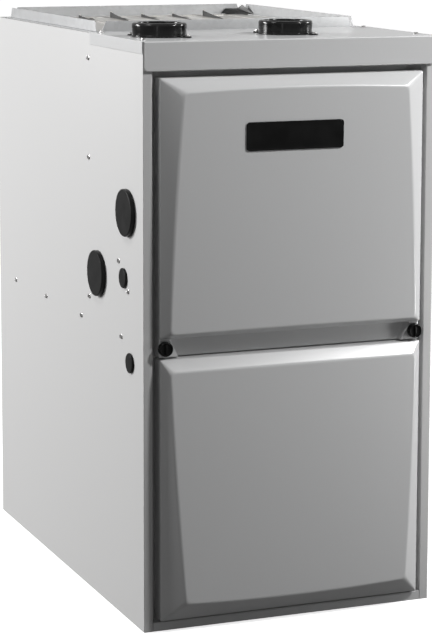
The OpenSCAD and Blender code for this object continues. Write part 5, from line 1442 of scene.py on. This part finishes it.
def insulation_blanket():
    """A crowned fibre blanket, pulled in at its edges and at the pins that hold it, with their washers."""
    half, low, high, front, back = 198.4, 17.2, 388.2, 3.0, 16.5
    pins = [(x, z) for z in (64, 160, 245, 341) for x in (-132, 0, 132)]
    nx, nz = 66, 62

    def inset(edge):
        share = min(edge / 14, 1)
        return 5.2 * (1 - math.sqrt(share * (2 - share)))

    def pull(x, z):
        return sum(math.exp(-((x - px) ** 2 + (z - pz) ** 2) / 260) for px, pz in pins)

    def lump(x, z):
        across = math.sin(x * 0.071 + 1.7 * math.sin(z * 0.023))
        return 0.5 * across * math.sin(z * 0.063 + 1.3 * math.sin(x * 0.031 + 2))

    bm = bmesh.new()
    sides = []
    for face in (-1, 1):
        grid = []
        for i in range(nx + 1):
            column = []
            for j in range(nz + 1):
                u, v = i / nx, j / nz
                spread_u, spread_v = 0.5 - 0.5 * math.cos(math.pi * u), 0.5 - 0.5 * math.cos(math.pi * v)
                u, v = 0.55 * u + 0.45 * spread_u, 0.55 * v + 0.45 * spread_v
                x, z = -half + 2 * half * u, low + (high - low) * v
                at_side, at_end = min(u, 1 - u) < 0.001, min(v, 1 - v) < 0.001
                bow = 1.6 * (math.sin(math.pi * v * 4) ** 2 * at_side
                             + math.sin(math.pi * u * 3) ** 2 * at_end)
                edge = min(x + half, half - x, z - low, high - z)
                depth = inset(max(edge, 0)) + (0.75 + lump(x, z) if edge > 8 else 0.4)
                x -= math.copysign(bow, x) if at_side else 0
                z += (bow if v < 0.5 else -bow) if at_end else 0
                if face < 0:
                    y = front + depth
                else:
                    y = back - depth - 4.2 * min(pull(x, z), 1)
                column.append(bm.verts.new(at(x, y, z)))
            grid.append(column)
        for i in range(nx):
            for j in range(nz):
                bm.faces.new((grid[i][j], grid[i + 1][j], grid[i + 1][j + 1], grid[i][j + 1]))
        sides.append(grid)
    rim = []
    for grid in sides:
        rim.append([grid[i][0] for i in range(nx)] + [grid[nx][j] for j in range(nz)]
                   + [grid[i][nz] for i in range(nx, 0, -1)] + [grid[0][j] for j in range(nz, 0, -1)])
    for k in range(len(rim[0])):
        j = (k + 1) % len(rim[0])
        bm.faces.new((rim[0][k], rim[0][j], rim[1][j], rim[1][k]))
    blanket = from_bmesh("fibre_blanket", bm, 60)
    done(blanket, "insulation", "lower_door", "lower_door_liner")
    washer = lathe("washer", ((0, 0.9, 0), (1.4, 0.9, 0.2), (1.8, 0.4, 0.2), (13, 0.2, 0.3),
                              (13.6, -0.5, 0.3), (12.8, -0.5, 0.1), (0, -0.3, 0)), HERE, "z", 32, 2)
    spots = [((x, back - 5.1, z), (0, 1, 0)) for x, z in pins]
    done(on_spots("blanket_washers", washer, spots, "screw_steel"), "screw_steel", "lower_door")


# ---- Light, floor and camera ----


def studio():
    """A floor that is white to the camera, grey to other light and dim in mirrors, the room and the lamps."""
    floor_mesh = bpy.data.meshes.new("floor")
    corners = [(x * FLOOR_HALF, y * FLOOR_HALF, FLOOR_Z) for x, y in ((-1, -1), (1, -1), (1, 1), (-1, 1))]
    floor_mesh.from_pydata(corners, [], [(0, 1, 2, 3)])
    floor = placed("floor", floor_mesh)
    material = bpy.data.materials.new("pale_floor")
    material.use_nodes = True
    tree = material.node_tree
    shader = tree.nodes["Principled BSDF"]
    fill(tree, shader, {"Base Color": (0.8, 0.8, 0.8, 1), "Roughness": 0.9})
    place = add(tree, "ShaderNodeTexCoord").outputs["Object"]
    reach = add(tree, "ShaderNodeVectorMath", {0: place}, operation="LENGTH").outputs["Value"]
    glow = add(tree, "ShaderNodeEmission", {"Strength": spread(tree, reach, *GLOW_REACH, *GLOW)})
    seen = add(tree, "ShaderNodeAddShader", {0: shader.outputs[0], 1: glow.outputs[0]})
    mirrored = add(tree, "ShaderNodeEmission", {"Strength": 0.5 * MIRRORED_WORLD})
    dim = add(tree, "ShaderNodeBsdfDiffuse", {"Color": (*grey(FLOOR_GREY), 1)})
    share = background_rays(tree, 1.0)
    bounce = add(tree, "ShaderNodeMixShader", {"Fac": share, 1: dim.outputs[0], 2: mirrored.outputs[0]})
    direct = add(tree, "ShaderNodeLightPath").outputs["Is Camera Ray"]
    both = add(tree, "ShaderNodeMixShader", {"Fac": direct, 1: bounce.outputs[0], 2: seen.outputs[0]})
    fill(tree, tree.nodes["Material Output"], {"Surface": both.outputs[0]})
    floor_mesh.materials.append(material)

    world = bpy.data.worlds.new("studio")
    scene.world = world
    world.use_nodes = True
    tree = world.node_tree
    strength = background_rays(tree, MIRRORED_WORLD)
    fill(tree, tree.nodes["Background"], {"Color": (1, 1, 1, 1), "Strength": strength})

    for row in LAMPS:
        lamp(*row)


def background_rays(tree, mirrors):
    """1 for what the camera sees straight or through glass, mirrors for what it sees in a mirror, else 0."""
    path = add(tree, "ShaderNodeLightPath").outputs
    share = add(tree, "ShaderNodeMath", {0: path["Is Glossy Ray"], 1: mirrors}, operation="MULTIPLY")
    total = path["Is Camera Ray"]
    for seen in (share.outputs[0], path["Is Transmission Ray"]):
        total = add(tree, "ShaderNodeMath", {0: total, 1: seen}, operation="MAXIMUM").outputs[0]
    return total


def lamp(name, azimuth, elevation, distance, size, watts, height=None):
    """A soft lamp that faces the furnace's middle. Azimuth 0 is in front, 90 to the right."""
    light = bpy.data.lights.new(name, "AREA")
    light.shape, light.size, light.size_y, light.energy = "RECTANGLE", size, height or size, watts
    obj = bpy.data.objects.new(name, light)
    scene.collection.objects.link(obj)
    a, e = math.radians(azimuth), math.radians(elevation)
    way = Vector((math.sin(a) * math.cos(e), -math.cos(a) * math.cos(e), math.sin(e)))
    obj.location = Vector(LAMPS_AIM) + way * distance
    obj.rotation_euler = way.to_track_quat("Z", "Y").to_euler()


def camera():
    """The camera that was fitted to the cabinet's corners in the photograph."""
    data = bpy.data.cameras.new("camera")
    data.lens, data.sensor_width, data.shift_y = LENS, SENSOR, SHIFT_UP
    data.clip_start, data.clip_end = 0.05, 200
    obj = bpy.data.objects.new("camera", data)
    scene.collection.objects.link(obj)
    obj.location = CAMERA_AT
    aim = Euler([math.radians(a) for a in CAMERA_TURN]).to_matrix()
    obj.rotation_euler = (aim @ Matrix.Rotation(math.radians(CAMERA_ROLL), 3, "Z")).to_euler()
    scene.camera = obj


scene.view_settings.view_transform = "Standard"
for make in (
    camera, studio, cabinet_shell, doors, badge, door_knobs, collars, knockout_plugs, cabinet_screws,
    folded_sheets, top_baffle, exchanger_cells, burner_row, gas_pipework, gas_valve, flame_rods,
    safety_switches, coil, collector, inducer, vent_pipe, pressure_switch, hoses, condensate_trap,
    box_screws, blower_housing, blower_wheel, blower_motor, control_board, transformer, door_switch,
    insulation_blanket,
):
    make()
